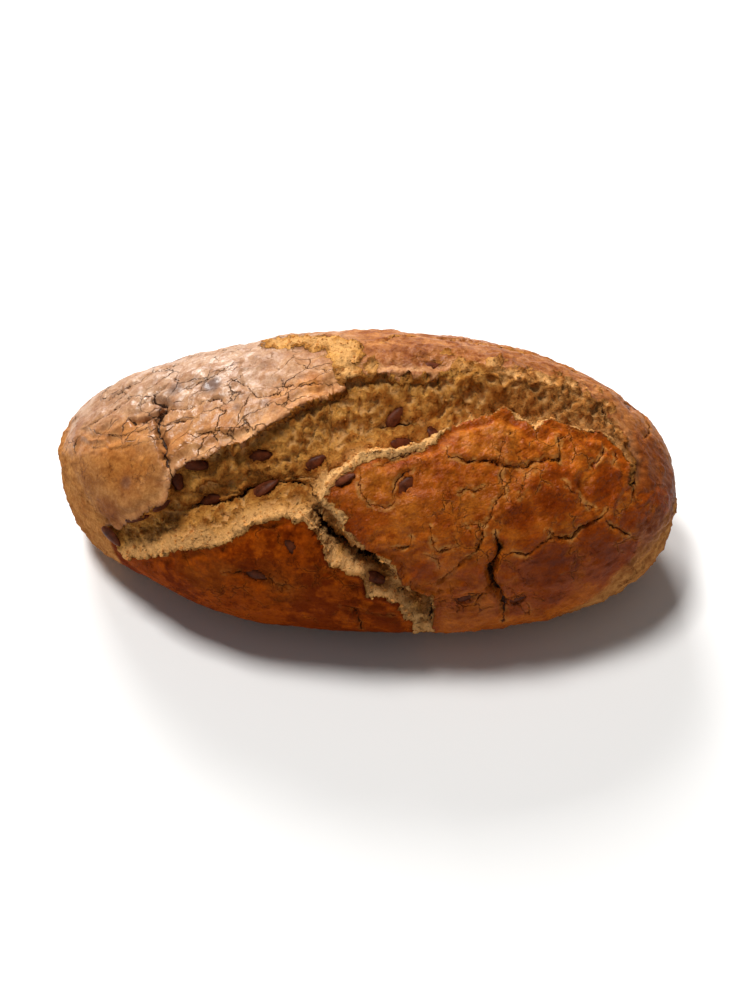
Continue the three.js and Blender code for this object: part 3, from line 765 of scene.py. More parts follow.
def crust_colours(at, settings):
    """The colour of the baked crust and how much it browned, place by place."""
    x, turn, flat, behind, side = at.x, at.turn, at.flat, at.behind, at.side
    left_front, right_front, fade = at.left_front, at.right_front, at.tear["fade"]
    blotch = 0.5 + 0.5 * noise(flat, 9, 61) + 0.4 * noise(flat, 3.5, 62) + 0.2 * noise(flat, 1.4, 63)
    # Paler towards the crest of the dry top: partly its own drier crust, partly a painted sheen.
    pale = at.top_left * ramp(turn + 5 * noise(flat, 6, 64), 66, 92)
    pale *= 1 - 0.7 * ramp(x + 4 * noise(flat, 6, 65), -22, -6)
    # The torn back plate's rounded edge: partly its own paler crust, partly painted highlight where it
    # catches the light.
    torn_edge = 0.9 * hump(at.signed, -0.6, 1.4) * behind * fade * (1 - at.far_back)
    torn_edge *= (1 - 0.8 * at.low_left) * (1 - 0.75 * ramp(at.x_read, 34, 46))
    glazed = (0.55 * right_front + 0.35 * left_front + 0.35 * at.top_right) * ramp(blotch, 0.45, 1.05)
    browned = patched(flat, BROWN_PATCHES) * (0.8 + 0.5 * (blotch - 0.5))
    browned = np.maximum(browned, glazed) * (0.45 + 0.55 * ramp(at.near, 0.2, 2.2))
    rim_brown = 0.8 * hump(at.signed, -0.9, 0.8) * (0.6 * left_front + 0.5 * right_front) * fade
    at.browned = np.clip(np.maximum(browned, rim_brown), 0, 1) * (1 - 0.8 * side)
    at.browned = at.browned * (1 - behind) - behind - side

    coats = (
        (settings.glaze_colour, right_front),
        (settings.end_colour, ramp(at.x_read, 48, 53) * (1 - ramp(turn, 95, 120))),
        (settings.deep_glaze_colour, left_front),
        (settings.low_crust_colour, at.low_left),
        (settings.tan_top_colour, at.top_left),
        # Pale top and pale torn edge: partly the crust's own colour, partly painted sheen and highlight.
        (settings.pale_top_colour, pale),
        (settings.lip_colour, np.clip(torn_edge, 0, 1)),
        (settings.gold_colour, patched(flat, GOLD_PATCHES) * (0.75 + 0.5 * (blotch - 0.5))),
        (settings.brown_colour, np.clip(browned * behind, 0, 1) * (1 - side)),
        (settings.stain_colour, patched(flat, STAINS)),
        (settings.side_colour, side),
        (settings.sole_colour, 1 - ramp(at.points[:, 2], 0.3, 2.2)),
    )
    colour = np.tile(np.array(settings.back_colour), (len(x), 1))
    for coat, share in coats:
        colour = mixed(colour, coat, share)
    return colour


def shine_and_smoothness(at):
    """How far the glaze took, and how little relief the crust has."""
    shine = 0.2 * at.right_front + 0.02 * at.left_front + (0.75 - 0.55 * ramp(at.x, -30, -13)) * at.top_left
    shine = shine + (0.12 + 0.2 * bump(at.x, 20, 26)) * at.top_right + 0.06 * at.low_left
    smooth = at.top_left + 0.85 * at.low_left + 0.8 * at.behind * ramp(at.x_read, 44, 50)
    smooth = smooth + 0.85 * at.left_front + 0.5 * at.far_back
    smooth = smooth + 0.65 * at.right_front * (1 - ramp(at.turn_read, 14, 36))
    return np.clip(shine, 0, 1) * (1 - at.side), np.clip(smooth, 0, 1)


def loaf_skin(settings):
    """Works out every vertex of the loaf's skin, and the colours and masks painted on it."""
    skin = Skin(settings)
    at = SimpleNamespace(skin=skin, x=skin.x_all, turn=skin.turn_all)
    at.flat = point_at(at.x, at.turn)
    slide = np.array([0.0, -(at.flat[:, 1].min() + at.flat[:, 1].max()) / 2, 0.0])
    frames = [(middle - slide, axes, half) for middle, axes, half in seed_frames()]
    beds = seed_beds(frames)
    at.to_seed = distance_to_seeds(point_at(at.x, at.turn, torn(at.x, at.turn)["depth"]), frames)
    for step in (read_places, sink, tell_crusts, tell_crumb):
        step(at)

    points = swollen(at)
    normal = skin.normals(skin.smoothed(points, 4))
    points += normal * (crumb_relief(at, points) + crust_relief(at))[:, None]
    points = bedded(points, frames, beds)
    points[:, 2] = np.maximum(points[:, 2], 0)
    points[at.flat[:, 2] < 0, 2] = 0
    at.points = points

    shade_hollows(at, points, normal)
    colour = crust_colours(at, settings)
    shine, smooth = shine_and_smoothness(at)
    layers = {
        "bare": at.bare,
        "sandy": np.clip(at.sandy, 0, 1),
        "toasted": at.toasted,
        # Painted shade in the hollows and round the seeds, and painted highlights on crumb that stands out.
        "cavity": np.clip(at.cavity, 0, 1),
        "proud": at.proud,
        "shine": shine,
        "browned": at.browned,
        "crackled": np.clip(at.top_left, 0, 1),
        "smooth": smooth,
        "crack_near": np.clip(at.near, 0, 3),
        "crack_side": np.clip(at.side_of, -3, 3),
        "crack_width": at.dark_width,
    }
    return skin, (points + slide) * MM, colour, layers, beds


# --- Making meshes ------------------------------------------------------------------------------
def deselect():
    bpy.ops.object.select_all(action="DESELECT")


def shaped_sphere(name, skin, points):
    """A UV sphere whose rings and steps are moved onto the skin's points."""
    deselect()
    bpy.ops.mesh.primitive_uv_sphere_add(
        segments=skin.around, ring_count=skin.rings, radius=1, calc_uvs=True
    )
    loaf = bpy.context.object
    loaf.name = name
    mesh = loaf.data
    places = np.empty(len(mesh.vertices) * 3, np.float32)
    mesh.vertices.foreach_get("co", places)
    places = places.reshape(-1, 3).astype(float)
    ring = np.rint(np.arccos(np.clip(places[:, 2], -1, 1)) / math.pi * skin.rings).astype(int)
    share = np.arctan2(places[:, 1], places[:, 0]) / math.tau
    step = np.rint(share * skin.around).astype(int) % skin.around
    index = (np.clip(ring, 1, skin.rings - 1) - 1) * skin.around + step
    grid = skin.grid(points)
    moved = points[index]
    moved[ring == 0] = grid[0].mean(axis=0)
    moved[ring == skin.rings] = grid[-1].mean(axis=0)
    mesh.vertices.foreach_set("co", moved.astype(np.float32).ravel())
    mesh.uv_layers[0].name = "OFBake"
    mesh.update()
    bpy.ops.object.shade_smooth()
    return loaf, index


def paint(mesh, layers, index):
    """Stores each layer's values on the mesh's vertices."""
    for name, values in layers.items():
        layer = mesh.attributes.new(name, "FLOAT", "POINT")
        layer.data.foreach_set("value", values[index].astype(np.float32))


def paint_colour(mesh, name, colour, index):
    layer = mesh.attributes.new(name, "FLOAT_COLOR", "POINT")
    opaque = np.concatenate([colour[index], np.ones((len(index), 1))], axis=1)
    layer.data.foreach_set("color", opaque.astype(np.float32).ravel())


# --- Materials ----------------------------------------------------------------------------------
def rgba(colour):
    return (*colour, 1.0)


class Board:
    """A material's nodes, added one by one."""

    def __init__(self, name):
        self.material = bpy.data.materials.new(name)
        self.material.use_nodes = True
        self.tree = self.material.node_tree
        self.tree.nodes.clear()

    def add(self, kind, inputs=None, **settings):
        """A node with these settings, its inputs linked to sockets or set to values."""
        node = self.tree.nodes.new(kind)
        for key, value in settings.items():
            setattr(node, key, value)
        for key, value in (inputs or {}).items():
            if isinstance(value, bpy.types.NodeSocket):
                self.tree.links.new(value, node.inputs[key])
            else:
                node.inputs[key].default_value = value
        return node

    def layer(self, name):
        """A layer painted on the mesh."""
        return self.add("ShaderNodeAttribute", attribute_name=name).outputs["Fac"]

    def math(self, operation, first, second=0.0, clamp=False):
        node = self.add("ShaderNodeMath", {0: first, 1: second}, operation=operation, use_clamp=clamp)
        return node.outputs[0]

    def plus(self, first, second):
        return self.math("ADD", first, second)

    def minus(self, first, second):
        return self.math("SUBTRACT", first, second)

    def times(self, *values):
        """The product of two or more values."""
        product_so_far = values[0]
        for value in values[1:]:
            product_so_far = self.math("MULTIPLY", product_so_far, value)
        return product_so_far

    def larger(self, first, second, clamp=False):
        return self.math("MAXIMUM", first, second, clamp)

    def warped(self, place, by, size):
        """A place moved by a noise colour times this size."""
        step = self.add("ShaderNodeVectorMath", {0: by, "Scale": size}, operation="SCALE").outputs[0]
        return self.add("ShaderNodeVectorMath", {0: place, 1: step}, operation="ADD").outputs[0]

    def cell_edges(self, place, scale):
        """The distance to the edges of scattered cells."""
        inputs = {"Vector": place, "Scale": scale}
        return self.add("ShaderNodeTexVoronoi", inputs, feature="DISTANCE_TO_EDGE").outputs["Distance"]

    def stretch(self, value, low, high, to_low=0.0, to_high=1.0):
        inputs = {0: value, 1: low, 2: high, 3: to_low, 4: to_high}
        return self.add("ShaderNodeMapRange", inputs, clamp=True).outputs[0]

    def blend(self, share, first, second, mode="MIX"):
        """Mixes two colours, each a socket or three numbers."""
        colours = {
            key: colour if isinstance(colour, bpy.types.NodeSocket) else rgba(colour)
            for key, colour in ((6, first), (7, second))
        }
        node = self.add(
            "ShaderNodeMix", {0: share, **colours}, data_type="RGBA", blend_type=mode, clamp_factor=True
        )
        return node.outputs[2]

    def noise(self, place, scale, detail=3.0, roughness=0.55):
        inputs = {"Vector": place, "Scale": scale, "Detail": detail, "Roughness": roughness}
        return self.add("ShaderNodeTexNoise", inputs).outputs["Fac"]

    def colour_noise(self, place, scale, detail):
        inputs = {"Vector": place, "Scale": scale, "Detail": detail}
        return self.add("ShaderNodeTexNoise", inputs).outputs["Color"]

    def object_place(self):
        return self.add("ShaderNodeTexCoord").outputs["Object"]

    def relief(self, height, strength, distance):
        inputs = {"Height": height, "Strength": strength, "Distance": distance}
        return self.add("ShaderNodeBump", inputs).outputs[0]

    def finish(self, inputs):
        """Ends the nodes with a shader that has these inputs."""
        shader = self.add("ShaderNodeBsdfPrincipled", inputs)
        self.add("ShaderNodeOutputMaterial", {"Surface": shader.outputs[0]})
        return self.material


def crack_lines(board, jag, broken):
    """Lines of painted shade where the painted distance to a crack crosses nothing, and the light lips
    beside them as painted highlights.
    """
    near = board.layer("crack_near")
    distance = board.math("ABSOLUTE", board.plus(board.layer("crack_side"), jag))
    width = board.times(board.layer("crack_width"), board.stretch(broken, 0.38, 0.62, 0.35, 1.25))
    outer = board.plus(board.times(width, 1.1), 0.04)
    line = board.stretch(distance, board.times(width, 0.5), outer, 1.0, 0.0)
    close = board.stretch(board.minus(near, width), 0.4, 0.7, 1.0, 0.0)
    # Painted highlights on the lips beside the crack.
    lip = board.times(board.stretch(distance, 0.1, 0.3), board.stretch(near, 0.45, 1.0, 1.0, 0.0))
    lip = board.times(lip, board.stretch(broken, 0.45, 0.6))
    return board.times(line, close), lip


def read_bread(board):
    """The noises and painted layers that the crust, the crumb and the relief all read."""
    bread = SimpleNamespace(place=board.object_place())
    for name in ("bare", "sandy", "toasted", "cavity", "shine", "crackled", "browned", "smooth", "proud"):
        setattr(bread, name, board.layer(name))
    bread.painted = board.add("ShaderNodeAttribute", attribute_name="crust_colour").outputs["Color"]
    bread.broad = board.noise(bread.place, 330, 4, 0.6)
    bread.medium = board.noise(bread.place, 800, 3, 0.6)
    bread.fine = board.noise(bread.place, 2300, 3, 0.65)
    jag = board.plus(
        board.stretch(bread.medium, 0.2, 0.8, -0.4, 0.4), board.stretch(bread.fine, 0.2, 0.8, -0.25, 0.25)
    )
    bread.line, bread.lip = crack_lines(board, jag, board.noise(bread.place, 480, 3))
    bread.crumb = board.stretch(board.plus(bread.bare, jag), -0.1, 0.1)
    bread.covered = board.stretch(bread.crumb, 0, 1, 1.0, 0.0)
    bread.slanting = board.add(
        "ShaderNodeMapping",
        {"Vector": bread.place, "Rotation": (0, 0, math.radians(37)), "Scale": (2.2, 1, 1)},
        vector_type="TEXTURE",
    ).outputs[0]
    return bread


def browned_crust(board, bread, settings):
    """The painted colour, browned in patches with clear edges, and mottled and streaked."""
    mottle = board.plus(board.times(bread.broad, 0.6), board.times(bread.medium, 0.4))
    browned = board.plus(bread.browned, board.stretch(mottle, 0.25, 0.75, -0.6, 0.6))
    crust = board.blend(board.stretch(browned, 0.15, 0.5), bread.painted, settings.red_glaze_colour)
    crust = board.blend(board.stretch(browned, 0.6, 1.2), crust, settings.dark_glaze_colour)
    shade = board.blend(board.stretch(mottle, 0.38, 0.62), (0.55, 0.38, 0.3), (1.3, 1.45, 1.5))
    crust = board.blend(board.stretch(bread.smooth, 0.0, 1.0, 0.9, 0.45), crust, shade, "MULTIPLY")
    along = board.add("ShaderNodeMapping", {"Vector": bread.place, "Scale": (0.25, 1, 1)}).outputs[0]
    streak = board.stretch(board.noise(along, 420, 4, 0.65), 0.35, 0.65)
    streak = board.blend(streak, (0.74, 0.66, 0.6), (1.2, 1.26, 1.3))
    return board.blend(board.stretch(bread.crackled, 0, 1, 0.7, 0.0), crust, streak, "MULTIPLY")


def crackled_glaze(board, bread, crust, settings):
    """Fine wandering lines in the glaze, and a web of cracks in painted shade with light lips, painted
    highlights, where it browned.
    """
    warp = board.colour_noise(bread.place, 700.0, 2.0)
    contours = board.noise(board.warped(bread.place, warp, 0.0008), 210, 5, 0.6)
    crinkle = board.stretch(board.math("ABSOLUTE", board.minus(contours, 0.5)), 0.0, 0.011, 1.0, 0.0)
    crinkle = board.times(crinkle, board.stretch(board.noise(bread.place, 120, 2), 0.48, 0.6))
    crinkle = board.times(crinkle, board.stretch(bread.crackled, 0, 0.5, 1.0, 0.0))
    crust = board.blend(board.times(crinkle, 0.6), crust, settings.dark_glaze_colour)

    web = board.cell_edges(board.warped(bread.place, warp, 0.00208), 215.0)
    some = board.stretch(board.noise(bread.place, 135, 3), 0.52, 0.6)
    some = board.times(some, board.stretch(bread.browned, -0.6, -0.2))
    crackle = board.times(board.stretch(web, 0.006, 0.03, 1.0, 0.0), some)
    some = board.times(some, board.stretch(bread.smooth, 0, 0.85, 1.0, 0.25))
    # Painted highlights on the lips of the web's cracks.
    light_lip = board.times(board.stretch(web, 0.03, 0.1, 1.0, 0.0), some)
    crust = board.blend(board.times(light_lip, 0.55), crust, settings.gold_colour)
    # Painted shade in the web's cracks.
    crust = board.blend(board.times(crackle, 0.75), crust, settings.dark_glaze_colour)
    speck = board.blend(board.stretch(bread.fine, 0.35, 0.65), (0.78, 0.7, 0.62), (1.16, 1.2, 1.25))
    crust = board.blend(0.7, crust, speck, "MULTIPLY")
    # Painted highlights on the lips of the large cracks.
    lip = board.times(bread.lip, board.stretch(bread.smooth, 0, 0.85, 0.75, 0.15))
    return board.blend(lip, crust, settings.crack_lip_colour), crinkle, crackle


def hairlines(board, bread):
    """Fine cracks of the dry top: cells drawn out along one diagonal."""
    warp = board.colour_noise(bread.place, 420.0, 4.0)
    edges = board.cell_edges(board.warped(bread.slanting, warp, 0.0022), 245.0)
    thin = board.stretch(board.noise(bread.place, 380, 3), 0.4, 0.65, 0.012, 0.042)
    patchy = board.stretch(board.noise(bread.place, 150, 2), 0.42, 0.58, 0.15, 1.0)
    hairline = board.times(board.stretch(edges, 0.0, thin, 1.0, 0.0), board.times(patchy, bread.crackled))
    return board.times(hairline, bread.covered)


def torn_crumb(board, bread, settings):
    """Pale and granular crumb, painted light on the tops of its bump and painted shade, brown, in its
    hollows, sandy on the rims, pricked with small dark pores of painted shade.
    """
    clump = board.noise(bread.place, 520, 5, 0.7)
    grit = board.noise(bread.place, 1900, 4, 0.75)
    fluffy = board.plus(board.times(clump, 0.5), board.times(grit, 0.5))
    # The same noise raises the bump, so this blend of the lit and the shaded crumb is painted light and
    # shade.
    share = board.stretch(fluffy, 0.38, 0.6)
    crumb = board.blend(share, settings.shade_crumb_colour, settings.crumb_colour)
    tone = board.stretch(board.noise(bread.place, 190, 3, 0.6), 0.4, 0.6)
    crumb = board.blend(0.9, crumb, board.blend(tone, (0.72, 0.64, 0.54), (1.2, 1.2, 1.15)), "MULTIPLY")
    # Toasted crumb in the same painted light and shade; its shaded copy is the pores' painted shade.
    brown_crumb = board.blend(share, settings.pore_colour, settings.toast_colour)
    crumb = board.blend(board.times(bread.toasted, 0.8), crumb, brown_crumb)
    # Sandy rims, partly their own paler crumb, with painted highlights where the crumb stands out.
    pale = board.larger(bread.sandy, board.times(bread.proud, 0.8))
    pale = board.times(pale, board.stretch(grit, 0.3, 0.5, 0.5, 1.0))
    crumb = board.blend(pale, crumb, settings.rim_colour)
    # Small pores in painted shade, also sunk in the bump.
    pores = board.stretch(board.noise(bread.place, 1150, 3, 0.6), 0.3, 0.42, 0.75, 0.0)
    height = board.minus(board.times(fluffy, 3.5), board.times(pores, 0.8))
    return board.blend(pores, crumb, settings.pore_colour), height


def bread_material(settings):
    """Glazed crust and rough crumb in one material, told apart by the layers painted on the loaf."""
    board = Board("Baked bread")
    bread = read_bread(board)
    crust, crinkle, crackle = crackled_glaze(board, bread, browned_crust(board, bread, settings), settings)
    hairline = hairlines(board, bread)
    crumb_colour, crumb_height = torn_crumb(board, bread, settings)
    colour = board.blend(bread.crumb, crust, crumb_colour)
    # Painted shade multiplied in, weaker on crust than on crumb.
    dim = board.times(bread.cavity, board.stretch(bread.crumb, 0, 1, 0.4, 0.85))
    colour = board.blend(dim, colour, settings.hollow_colour, "MULTIPLY")
    # Painted shade in the hairline cracks.
    colour = board.blend(board.times(hairline, 0.95), colour, settings.crevice_colour)
    # Painted shade along the cracks, darker in the wider ones.
    deep = board.stretch(board.layer("crack_width"), 0.1, 0.25)
    in_crack = board.blend(deep, settings.shallow_colour, settings.crevice_colour)
    colour = board.blend(bread.line, colour, in_crack)

    # Roughness: satin where the glaze took, dull on crumb and in cracks.
    rough = board.stretch(bread.shine, 0.0, 0.06, 0.8, settings.glaze_roughness)
    rough = board.plus(rough, board.stretch(bread.medium, 0.3, 0.7, -0.08, 0.12))
    rough = board.larger(rough, board.times(bread.crumb, 0.95))
    rough = board.larger(rough, board.times(bread.line, 0.9), clamp=True)

    # A clear coat of dried egg wash, full on the dry top and thin on the front.
    coat = board.times(bread.shine, bread.covered, board.stretch(bread.broad, 0.35, 0.6, 0.35, 1.0))

    # Relief finer than the mesh.
    leather = board.plus(board.noise(bread.slanting, 1100, 4, 0.65), board.noise(bread.place, 620, 3, 0.6))
    crust_height = board.times(leather, board.stretch(bread.crumb, 0, 1, 0.75, 0.0))
    crust_height = board.times(crust_height, board.stretch(bread.smooth, 0, 1, 1.0, 0.35))
    height = board.plus(board.times(crumb_height, bread.crumb), crust_height)
    grooves = (
        (hairline, 0.5), (bread.line, 0.8), (board.times(crinkle, bread.covered), 0.3),
        (board.times(crackle, bread.covered), 0.5),
    )
    for groove, deepness in grooves:
        height = board.minus(height, board.times(groove, deepness))
    relief = board.relief(height, 0.85, 0.0006)
    return board.finish({
        "Base Color": colour, "Roughness": rough, "Normal": relief, "Specular IOR Level": 0.01,
        "Coat Weight": coat, "Coat Roughness": 0.25, "Coat Normal": relief,
    })


def seed_material(settings):
    """The glossy seed coat, with fine lengthwise mottling."""
    board = Board("Flax seed coat")
    place = board.object_place()
    mottle = board.noise(place, 700, 4, 0.6)
    fleck = board.noise(place, 3800, 2)
    colour = board.blend(board.stretch(mottle, 0.35, 0.65), settings.dark_coat_colour, settings.coat_colour)
    # Pale flecks where the fine bump stands highest: painted glints.
    colour = board.blend(board.stretch(fleck, 0.62, 0.75, 0.0, 0.4), colour, settings.light_fleck_colour)
    rough = board.stretch(mottle, 0.3, 0.7, settings.coat_roughness, settings.coat_roughness + 0.15)
    relief = board.relief(fleck, 0.25, 0.0001)
    return board.finish({
        "Base Color": colour, "Roughness": rough, "Normal": relief, "Specular IOR Level": 0.05,
    })


def grain_material(settings):
    """Loose crumbs: sandy and dull, each a little different."""
    board = Board("Loose crumb")
    place = board.object_place()
    grit = board.noise(place, 3000, 3)
    patchy = board.stretch(board.noise(place, 600, 3), 0.4, 0.8)
    # Lit and shaded copies of the crumb colour mixed in patches and specks: painted light and shade.
    colour = board.blend(patchy, settings.shade_crumb_colour, settings.crumb_colour)
    colour = board.blend(board.stretch(grit, 0.55, 0.7, 0.0, 0.5), colour, settings.shade_crumb_colour)
    relief = board.relief(grit, 0.6, 0.0002)
    return board.finish({"Base Color": colour, "Roughness": 0.92, "Normal": relief})


# --- Settings -----------------------------------------------------------------------------------
def colour_setting(name, description, default):
    return FloatVectorProperty(
        name=name, description=description, default=default, subtype="COLOR", min=0, max=1
    )


def roughness_setting(name, description, default):
    return FloatProperty(name=name, description=description, default=default, subtype="FACTOR", min=0, max=1)


def length_setting(name, description, default):
    return FloatProperty(
        name=name, description=description, default=default, subtype="DISTANCE", unit="LENGTH", min=0
    )


def angle_setting(name, description, degrees):
    return FloatProperty(
        name=name, description=description, default=math.radians(degrees), subtype="ANGLE", unit="ROTATION"
    )


def power_setting(name, description, default):
    return FloatProperty(name=name, description=description, default=default, unit="POWER", min=0)


class BreadSettings(bpy.types.PropertyGroup):
    rings: IntProperty(name="Rings", description="Rings of the mesh along the loaf", default=345, min=40)
    around: IntProperty(name="Around", description="Steps of the mesh round the loaf", default=286, min=40)
    glaze_roughness: roughness_setting("Glaze roughness", "Roughness where the glaze took", 0.36)
    end_colour: colour_setting("Right end", "Smooth brown crust of the right end", (0.27, 0.064, 0.008))
    # Partly the crust's own paler edge, partly painted highlight.
    lip_colour: colour_setting("Lip", "Edge of the torn crust", (0.66, 0.34, 0.15))
    tan_top_colour: colour_setting("Tan top", "Dry crust towards the torn edge", (0.47, 0.215, 0.08))
    brown_colour: colour_setting("Browned back", "Darker places of the back", (0.22, 0.062, 0.016))
    # Partly the dry crust's own colour, partly painted sheen towards the crest.
    pale_top_colour: colour_setting("Pale top", "Dry, crackled crust on top", (0.42, 0.24, 0.14))
    low_crust_colour: colour_setting("Low crust", "Tan crust at the torn edge", (0.38, 0.155, 0.045))
    back_colour: colour_setting("Back", "Crust on the back", (0.39, 0.14, 0.038))
    glaze_colour: colour_setting("Glaze", "Glazed crust on the front", (0.42, 0.1, 0.007))
    deep_glaze_colour: colour_setting("Deep glaze", "Darker glaze low on the front", (0.175, 0.025, 0.001))
    dark_glaze_colour: colour_setting("Dark glaze", "Glaze where it caught", (0.13, 0.018, 0.002))
    red_glaze_colour: colour_setting("Red glaze", "Glaze about to catch", (0.29, 0.05, 0.002))
    # Painted shade in the pores and in the toasted crumb's hollows.
    pore_colour: colour_setting("Pore", "Small pores of the crumb", (0.2, 0.075, 0.022))
    gold_colour: colour_setting("Gold", "Glaze that stayed light", (0.47, 0.15, 0.016))
    stain_colour: colour_setting("Stain", "Crust over a seed", (0.09, 0.06, 0.06))
    side_colour: colour_setting("Side", "Unglazed crust low on the sides", (0.45, 0.19, 0.055))
    sole_colour: colour_setting("Sole", "Crust that lay on the tray", (0.2, 0.085, 0.03))
    # Crumb and shade crumb are the crumb's lit and shaded copies: painted light and shade.
    crumb_colour: colour_setting("Crumb", "Torn crumb in the light", (0.83, 0.415, 0.1))
    shade_crumb_colour: colour_setting("Shade crumb", "Torn crumb in its hollows", (0.52, 0.2, 0.038))
    # Partly the rims' own paler crumb, partly painted highlight.
    rim_colour: colour_setting("Rim", "Sandy crumb on the torn rims", (0.9, 0.5, 0.19))
    toast_colour: colour_setting("Toasted crumb", "Crumb that browned in the split", (0.74, 0.3, 0.075))
    # Painted shade: multiplied into anything deep.
    hollow_colour: colour_setting("Hollow", "Tint of anything deep", (0.5, 0.33, 0.22))
    # Painted highlight on the lips beside cracks.
    crack_lip_colour: colour_setting("Crack lip", "Light crust beside a crack", (0.55, 0.25, 0.06))
    # Painted shade in the shallow and the deep cracks.
    shallow_colour: colour_setting("Shallow crack", "In the shallow cracks", (0.08, 0.022, 0.006))
    crevice_colour: colour_setting("Crevice", "Deep in the cracks", (0.035, 0.011, 0.004))
    crumbs: IntProperty(name="Loose crumbs", description="Loose crumbs on the torn rims", default=800, min=0)
    crumb_size: length_setting("Crumb size", "Size of a large loose crumb", 0.8 * MM)


class SeedSettings(bpy.types.PropertyGroup):
    coat_colour: colour_setting("Coat", "Red-brown seed coat", (0.13, 0.03, 0.01))
    dark_coat_colour: colour_setting("Dark coat", "Darker parts of the seed coat", (0.05, 0.012, 0.005))
    # Painted glints on the seed coat.
    light_fleck_colour: colour_setting("Fleck", "Pale flecks on the seed coat", (0.3, 0.15, 0.09))
    coat_roughness: roughness_setting("Coat roughness", "Roughness of the seed coat", 0.28)


class StageSettings(bpy.types.PropertyGroup):
    azimuth: angle_setting("Azimuth", "Camera's turn round the loaf", 5)
    elevation: angle_setting("Elevation", "Camera's height over the horizon", 50)
    distance: length_setting("Distance", "Camera to the loaf", 0.4)
    lens: FloatProperty(name="Lens", description="Focal length", default=73.9, min=1, unit="CAMERA")
    window_power: power_setting("Window", "Power of the low soft light at the back left", 34)
    key_power: power_setting("Key", "Power of the soft light overhead", 29)
    sky_strength: FloatProperty(
        name="Sky", description="Strength of the even light all round", default=0.15, min=0
    )
    floor_colour: colour_setting("Floor", "Pale floor", (0.85, 0.85, 0.85))


# --- Operators ----------------------------------------------------------------------------------
class ROLL_OT_loaf(bpy.types.Operator):
    """Models the whole loaf, crust and crumb, as one skin"""

    bl_idname = "roll.loaf"
    bl_label = "Loaf"

    def execute(self, context):
        settings = context.scene.roll_bread
        skin, points, colour, layers, beds = loaf_skin(settings)
        SUNK.update({name: bed[1] for name, bed in zip(SEED_NODES, beds)})
        loaf, index = shaped_sphere("baked_loaf", skin, points)
        paint(loaf.data, layers, index)
        paint_colour(loaf.data, "crust_colour", colour, index)
        loaf.data.materials.append(bread_material(settings))
        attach(loaf, BODY)
        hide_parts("loaf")
        return {"FINISHED"}


def smooth_seed(name, sunk):
    """A smooth copy of a CAD seed, its long edge a little sharper than a pebble's."""
    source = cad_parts[name]
    seed = bpy.data.objects.new(f"smooth_{name}", source.data.copy())
    bpy.context.scene.collection.objects.link(seed)
    shape = bmesh.new()
    shape.from_mesh(seed.data)
    bmesh.ops.remove_doubles(shape, verts=shape.verts, dist=1e-6)
    middle = sum((v.co for v in shape.verts), Vector()) / len(shape.verts)
    down = (Vector((middle.x, AXIS_Y, AXIS_HEIGHT * MM)) - middle).normalized() * sunk * MM
    for vertex in shape.verts:
        vertex.co = middle + (vertex.co - middle) * SEED_SWELL + down
    shape.to_mesh(seed.data)
    shape.free()
    deselect()
    seed.select_set(True)
    bpy.context.view_layer.objects.active = seed
    rounding = seed.modifiers.new("Rounding", "SUBSURF")
    rounding.levels = rounding.render_levels = 2
    bpy.ops.object.modifier_apply(modifier=rounding.name)
    bpy.ops.object.shade_smooth()
    return seed


class ROLL_OT_seeds(bpy.types.Operator):
    """Models the flax seeds where their CAD nodes lie"""

    bl_idname = "roll.seeds"
    bl_label = "Flax seeds"

    def execute(self, context):
        material = seed_material(context.scene.roll_seeds)
        for name in SEED_NODES:
            seed = smooth_seed(name, SUNK[name])
            seed.data.materials.clear()
            seed.data.materials.append(material)
            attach(seed, BODY)
            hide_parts(name)
        return {"FINISHED"}


def ball_model():
    """The corners and faces of a small round ball."""
    deselect()
    bpy.ops.mesh.primitive_ico_sphere_add(subdivisions=2, radius=1)
    model = bpy.context.object
    ball = np.array([v.co for v in model.data.vertices])
    faces = np.array([p.vertices for p in model.data.polygons])
    bpy.data.objects.remove(model)
    return ball, faces


def misshapen(ball, count, largest, draws):
    """A ball knocked out of shape, turned any way, and its size."""
    size = largest / 2 * (0.35 + 0.65 * draws.random() ** 3)
    shape = ball * (1 + 0.4 * noise(ball * 1.6 + count * 7.7, 1.0, 71)[:, None])
    shape *= draws.uniform(0.78, 1.22, (len(ball), 1))
    shape = shape * draws.uniform(0.4, 1.25, 3) * size
    turn = Vector(draws.normal(size=3)).normalized().to_track_quat("Z", "Y").to_matrix()
    return shape @ np.array(turn).T, size


class ROLL_OT_crumbs(bpy.types.Operator):
    """Scatters loose crumbs on the sandy rims of the tears"""

    bl_idname = "roll.crumbs"
    bl_label = "Loose crumbs"

    def execute(self, context):
        settings = context.scene.roll_bread
        mesh = bpy.data.objects["baked_loaf"].data
        sandy = np.array([item.value for item in mesh.attributes["sandy"].data])
        bare = np.array([item.value for item in mesh.attributes["bare"].data])
        draws = np.random.default_rng(CRUMB_DRAWS)
        weight = np.clip(sandy, 0, 1) ** 2 + 0.02 * (bare > 0)
        chosen = draws.choice(len(weight), settings.crumbs, replace=False, p=weight / weight.sum())
        ball, faces = ball_model()
        corners, sides = [], []
        for count, vertex in enumerate(chosen):
            spot, normal = mesh.vertices[vertex].co, mesh.vertices[vertex].normal
            shape, size = misshapen(ball, count, settings.crumb_size, draws)
            corners.append(shape + np.array(spot - normal * size * CRUMB_SUNK))
            sides.append(faces + count * len(ball))
        heap = bpy.data.meshes.new("loose_crumbs")
        heap.from_pydata(np.concatenate(corners).tolist(), [], np.concatenate(sides).tolist())
        crumbs = bpy.data.objects.new("loose_crumbs", heap)
        context.scene.collection.objects.link(crumbs)
        heap.materials.append(grain_material(settings))
        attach(crumbs, BODY)
        return {"FINISHED"}


